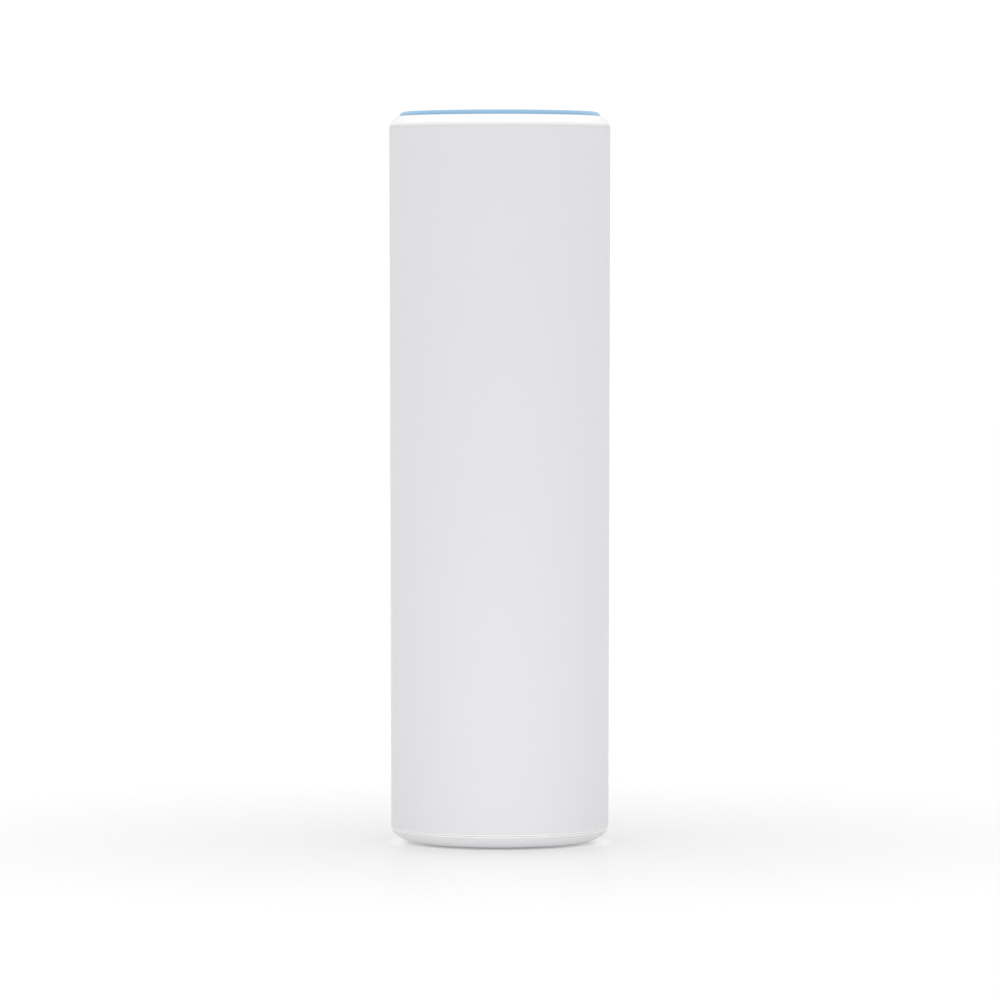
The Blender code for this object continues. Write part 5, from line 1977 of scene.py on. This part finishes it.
@dataclass
class Core:
    """The frame, the board with its parts, and the heat sink behind it.

    Args:
        screw_x: How far the board's screws stand from the middle.
        screw_z: Their two heights.
        board_front: The board's front face along Y.
        board_back: Its back face.
    """

    screw_x: float = 13.0 * MM
    screw_z: tuple[float, float] = (53.0 * MM, 104.0 * MM)
    board_front: float = field(init=False)
    board_back: float = field(init=False)

    def __post_init__(self) -> None:
        """Reads the board's faces from the frame."""
        low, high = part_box("main_board")
        self.board_front, self.board_back = low.y, high.y

    def capacitor(self, word: str) -> None:
        """One can: crimped near the board, its sleeve lapped over the rim of the bare top.

        Args:
            word: "left" or "right".
        """
        low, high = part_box(f"capacitor_{word}")
        x, z, radius = (low.x + high.x) / 2, (low.z + high.z) / 2, (high.x - low.x) / 2
        length = high.y - low.y
        corners = [
            (0.0, 0.0, 0.0),
            (radius, 0.0, 0.25 * MM),
            (radius, 1.4 * MM, 0.2 * MM),
            (radius - 0.28 * MM, 1.75 * MM, 0.2 * MM),
            (radius, 2.1 * MM, 0.2 * MM),
            (radius, length, 0.45 * MM),
            (radius - 0.6 * MM, length, 0.05 * MM),
            (radius - 0.62 * MM, length - 0.12 * MM, 0.05 * MM),
            (0.0, length - 0.12 * MM, 0.0),
        ]
        can = turned_solid(corners, 72).turned("X", 90.0).moved(x, high.y, z)
        finish = CanSleeve(f"can_sleeve_{word}", x, z, low.y + 0.3 * MM)
        fit(f"can_{word}", can, finish, Body.CASING, Slot.CAN_SLEEVE, f"capacitor_{word}")

    def chips(self) -> None:
        """Dresses the black parts, each with a dimple near one corner of its outer face."""
        hot = ("processor", "radio_chip_upper", "radio_chip_lower")
        for node in (*hot, "memory_chip", "lan_transformer", "tact_switch"):
            low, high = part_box(node)
            behind = low.y > self.board_back
            face, inset = (high.y if behind else low.y), 0.16 * (high.x - low.x)
            dimple = (low.x + inset, face, high.z - inset)
            restyle(node, MouldedChip(f"{node}_black", dimple, 0.07 * (high.x - low.x)))

    def build(self) -> None:
        """Dresses the frame, board and parts."""
        restyle("core_frame", FilledPlastic("frame_black"))
        restyle("main_board", CircuitBoard("board_mask", self.board_front, self.board_back))
        sink = WorkedMetal("sink_aluminium", (0.56, 0.57, 0.58), 0.42, (1.0, 1.0, 0.01), 0.10 * MM)
        restyle("heat_sink", sink)
        self.chips()
        for node in ("processor_pad", "radio_chip_upper_pad", "radio_chip_lower_pad"):
            restyle(node, ThermalPad(f"{node}_silicone"))
        for node in ("processor_shield", "radio_shield"):
            restyle(node, TinnedSteel(f"{node}_tin"))
        for node in ("inductor", "transformer_core"):
            restyle(node, PressedFerrite(f"{node}_ferrite"))
        restyle("transformer_winding", WoundTape("winding_tape"))
        for _, word in LEFT_RIGHT:
            self.capacitor(word)
        places = [(side * self.screw_x, height) for height in self.screw_z for side in (-1, 1)]
        for number, (x, z) in enumerate(places, 1):
            seat = (x, self.board_front - GAP, z)
            PanScrew(f"board_screw_{number}", seat, Pointing.BACK, 2.1 * MM, 1.3 * MM, 5.8 * MM).build()


# ------------------------------------------------------------------------------- radio and light


@dataclass
class RadioAndLight:
    """Antennas with their carriers and leads, and the ring board with its lamps and baffle.

    Args:
        lamps: How many lamps there are.
        lamp_circle: The radius that they stand on.
        lead_radius: Radius of an antenna's lead.
    """

    lamps: int = 6
    lamp_circle: float = 19.2 * MM
    lead_radius: float = 0.55 * MM

    def antenna_leads(self) -> None:
        """Sweeps each lead along the frame's own route, mirrored left and right."""
        foot = 19.99 * math.cos(math.radians(45.0))
        rear = (
            (foot, foot, 113.4),
            (foot, foot - 0.4, 112.2),
            (13.7, 11.5, 111.4),
            (13.3, 7.5, 111.4),
            (13.0, 4.2, 111.7),
            (13.0, 2.1, 112.0),
        )
        front = (
            (foot, -foot, 113.4),
            (foot, 0.4 - foot, 111.8),
            (14.3, -11.5, 109.8),
            (14.7, -7.0, 109.6),
            (14.8, -3.0, 110.8),
            (14.8, -0.1, 112.0),
        )
        for number, (side, way) in enumerate(((1, rear), (-1, rear), (-1, front), (1, front)), 1):
            route = np.array(way) * (side, 1, 1) * MM
            tube = sweep(circle(self.lead_radius), smooth_route(route), (1.0, 0.0, 0.0))
            finish = LeadSheath(f"antenna_lead_{number}_sheath")
            fit(f"coax_{number}", tube, finish, Body.CASING, Slot.LEAD_SHEATH, f"antenna_lead_{number}")

    def lamp_lead(self) -> None:
        """Sweeps the lead from the ring board down to the main board."""
        down = (-14.7, 150.7), (-12.5, 150.7), (-10.4, 150.2), (-9.2, 148.4)
        across = (-7.8, 145.0), (-5.0, 140.2), (-2.0, 138.2), (-0.1, 138.0)
        route = np.array([(0.0, y, z) for y, z in (*down, *across)]) * MM
        tube = sweep(circle(0.6 * MM), smooth_route(route), (1.0, 0.0, 0.0))
        fit("lamp_lead", tube, LeadSheath("lamp_lead_sheath"), Body.CASING, Slot.LEAD_SHEATH, "led_lead")

    def lamp(self, number: int) -> None:
        """One lamp: a rounded frame round a shallow phosphor window.

        Args:
            number: Which of the lamps, from 1.
        """
        degrees = 360.0 * (number - 0.5) / self.lamps
        low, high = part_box(f"led_{number}")
        middle = (low + high) / 2
        body = rounded_box((-0.8 * MM, -1.0 * MM, low.z), (0.8 * MM, 1.0 * MM, high.z), 0.08 * MM)
        window = rounded_box(
            (-0.5 * MM, -0.68 * MM, high.z - 0.12 * MM), (0.5 * MM, 0.68 * MM, high.z + 1 * MM), 0.05 * MM
        )
        name = f"lamp_{number}"
        x, y = (self.lamp_circle * turned(math.radians(degrees)) for turned in (math.cos, math.sin))
        frame_skin, cutter = (skin.turned("Z", degrees).moved(x, y) for skin in (body, window))
        mesh = joined(name, frame_skin, cut=[cutter])
        finish = LampLens(f"{name}_lens", (x, y, middle.z), degrees)
        fit(name, mesh, finish, Body.CASING, Slot.LED_LENS, f"led_{number}")

    def rings(self) -> None:
        """Turns the ring board and the white baffle."""
        low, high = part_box("led_board")
        board = turned_ring(15.0 * MM, high.x, low.z, high.z, 0.06 * MM)
        fit("ring_board", board, WhiteBoard("ring_board_mask"), Body.CASING, Slot.WHITE_BOARD, "led_board")
        low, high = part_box("light_baffle")
        wall = turned_ring(16.9 * MM, high.x, low.z, high.z, 0.15 * MM)
        finish = MouldedPlastic("baffle_white", (0.86, 0.86, 0.86), 0.4)
        fit("baffle_ring", wall, finish, Body.CASING, Slot.BRIGHT_SHELL, "light_baffle")

    def build(self) -> None:
        """Makes and dresses the antennas and the light module."""
        for node in ("antenna_carrier_front", "antenna_carrier_rear"):
            restyle(node, FilledPlastic(f"{node}_black"))
        brass = (0.78, 0.62, 0.34), 0.30, (1.0, 1.0, 0.03), 0.07 * MM
        for number in range(1, 5):
            restyle(f"antenna_{number}", WorkedMetal(f"antenna_{number}_brass", *brass, tarnish=0.25))
        self.antenna_leads()
        self.lamp_lead()
        for number in range(1, self.lamps + 1):
            self.lamp(number)
        self.rings()


# ------------------------------------------------------------------------------- studio


@dataclass
class Studio:
    """Floor, surrounding light and camera.

    Args:
        floor_radius: How far the floor reaches.
        camera_place: Where the camera stands.
        camera_aim: What it looks at.
        lens: Its focal length in millimetres.
        sensor: Its sensor's width in millimetres.
        sky_level: The tent's brightness low down and behind.
        sky_zenith: What is added overhead.
        sky_front: What is added in front.
        floor_glow: Painted light: emission on the floor close under the node, which lightens its contact
            shadow.
        glow_near: Radius where that light has gone.
        glow_far: Radius where it is full.
        fill_energy: The low lamp's power in watts.
    """

    floor_radius: float = 4.0
    camera_place: tuple[float, float, float] = (0.00004, -1.35, 0.1225)
    camera_aim: tuple[float, float, float] = (0.00004, 0.0, 0.07394)
    lens: float = 225.0
    sensor: float = 36.0
    sky_level: float = 0.77
    sky_zenith: float = 0.44
    sky_front: float = 0.16
    floor_glow: float = 0.19
    glow_near: float = 0.0258
    glow_far: float = 0.0212
    fill_energy: float = 0.012

    def camera(self) -> None:
        """Stands the camera up with no shift and no depth of field."""
        data = bpy.data.cameras.new("camera")
        data.lens, data.sensor_width = self.lens, self.sensor
        data.clip_start, data.clip_end = 0.01, 20.0
        holder = bpy.data.objects.new("camera", data)
        bpy.context.scene.collection.objects.link(holder)
        holder.location = self.camera_place
        aim = Vector(self.camera_aim) - Vector(self.camera_place)
        holder.rotation_euler = aim.to_track_quat("-Z", "Y").to_euler()
        bpy.context.scene.camera = holder

    def sky(self) -> None:
        """A white tent: brighter overhead and in front, and plain white where it is seen directly."""
        bench = Bench("studio_tent", world=True)
        direction = bench.make("ShaderNodeTexCoord", output="Generated")
        x, y, z = bench.axes(direction)
        overhead, front = z.ramp(0.15, 1.0) * self.sky_zenith, (0.0 - y).ramp(0.1, 1.0) * self.sky_front
        level = self.sky_level + overhead + front
        tent = bench.make("ShaderNodeBackground", {}, {"Color": (0.992, 0.988, 1.0, 1.0), "Strength": level})
        plain = bench.make("ShaderNodeBackground", {}, {"Color": (1.0, 1.0, 1.0, 1.0), "Strength": 1.05})
        seen = bench.make("ShaderNodeLightPath", output="Is Camera Ray")
        mixed = bench.make("ShaderNodeMixShader", {}, {0: seen, 1: tent, 2: plain})
        bench.make("ShaderNodeOutputWorld", {}, {"Surface": mixed})
        bpy.context.scene.world = bench.owner

    def floor(self) -> None:
        """A white disc, faintly polished round the node, with painted light close under it, and clear from
        below.
        """
        rings = np.array([0.0, 0.05, 0.2, 0.8, 2.0, self.floor_radius])[:, None]
        grid = polar(rings, np.linspace(0.0, math.tau, 96, endpoint=False), -0.02 * MM)
        mesh = Skin(grid.reshape(-1, 3), lattice(6, 96, False, True)[:, ::-1]).mesh("floor")
        if mesh.polygons[-1].normal.z < 0:
            mesh.flip_normals()
        bench = Bench("floor_white")
        here = bench.here()
        away = bench.vector("LENGTH", here, output="Value")
        cloud = bench.noise(here, 0.4)
        paint = bench.shaded((0.95, 0.952, 0.945), 1.0 + cloud * 0.01)
        white = bench.make("ShaderNodeBsdfDiffuse", {}, {"Color": paint})
        gloss = bench.make("ShaderNodeBsdfGlossy", {}, {"Color": (1.0, 1.0, 1.0, 1.0), "Roughness": 0.10})
        polished = bench.make("ShaderNodeMixShader", {}, {0: away.ramp(0.20, 0.0) * 0.36, 1: white, 2: gloss})
        # Painted light: emission under the node, full inside glow_far and gone past glow_near, which lightens
        # the contact shadow.
        rise = bench.shaded((1.0, 1.0, 1.0), away.ramp(self.glow_near, self.glow_far))
        glow = bench.make("ShaderNodeEmission", {}, {"Color": rise, "Strength": self.floor_glow})
        polished = bench.make("ShaderNodeAddShader", {}, {0: polished, 1: glow})
        clear = bench.make("ShaderNodeBsdfTransparent")
        behind = bench.make("ShaderNodeNewGeometry", output="Backfacing")
        both = bench.make("ShaderNodeMixShader", {}, {0: behind, 1: polished, 2: clear})
        bench.make("ShaderNodeOutputMaterial", {}, {"Surface": both})
        mesh.materials.append(bench.owner)
        disc = bpy.data.objects.new("floor", mesh)
        bpy.context.scene.collection.objects.link(disc)
        disc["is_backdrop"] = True

    def low_fill(self) -> None:
        """A soft light low in front that only the node sees, as a pale table throws back."""
        group = bpy.data.collections.new("node_pieces")
        bpy.context.scene.collection.children.link(group)
        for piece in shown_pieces():
            group.objects.link(piece)
        data = bpy.data.lights.new("table_bounce", "AREA")
        data.shape, data.size, data.energy = "DISK", 0.05, self.fill_energy
        data.color = (0.995, 0.99, 1.0)
        lamp = bpy.data.objects.new("table_bounce", data)
        lamp.location = (0.0, -0.125, 0.006)
        lamp.rotation_euler.x = math.pi / 2
        lamp.visible_camera = False
        lamp.visible_glossy = False
        bpy.context.scene.collection.objects.link(lamp)
        lamp.light_linking.receiver_collection = group
        lamp.light_linking.blocker_collection = group

    def build(self) -> None:
        """Sets up the studio."""
        scene = bpy.context.scene
        scene.view_settings.view_transform = "Standard"
        scene.view_settings.look = "None"
        self.camera()
        self.sky()
        self.floor()
        self.low_fill()


def main() -> None:
    """Builds the sub-assemblies from the outside in, then the studio."""
    logging.basicConfig(level=logging.INFO, format="%(name)s: %(message)s")
    for assembly in (Casing(), TwistFoot(), ConnectorBay(), Core(), RadioAndLight()):
        log.info("building %s", type(assembly).__name__)
        assembly.build()
    Studio().build()
    bpy.context.view_layer.update()


if __name__ == "__main__":
    main()
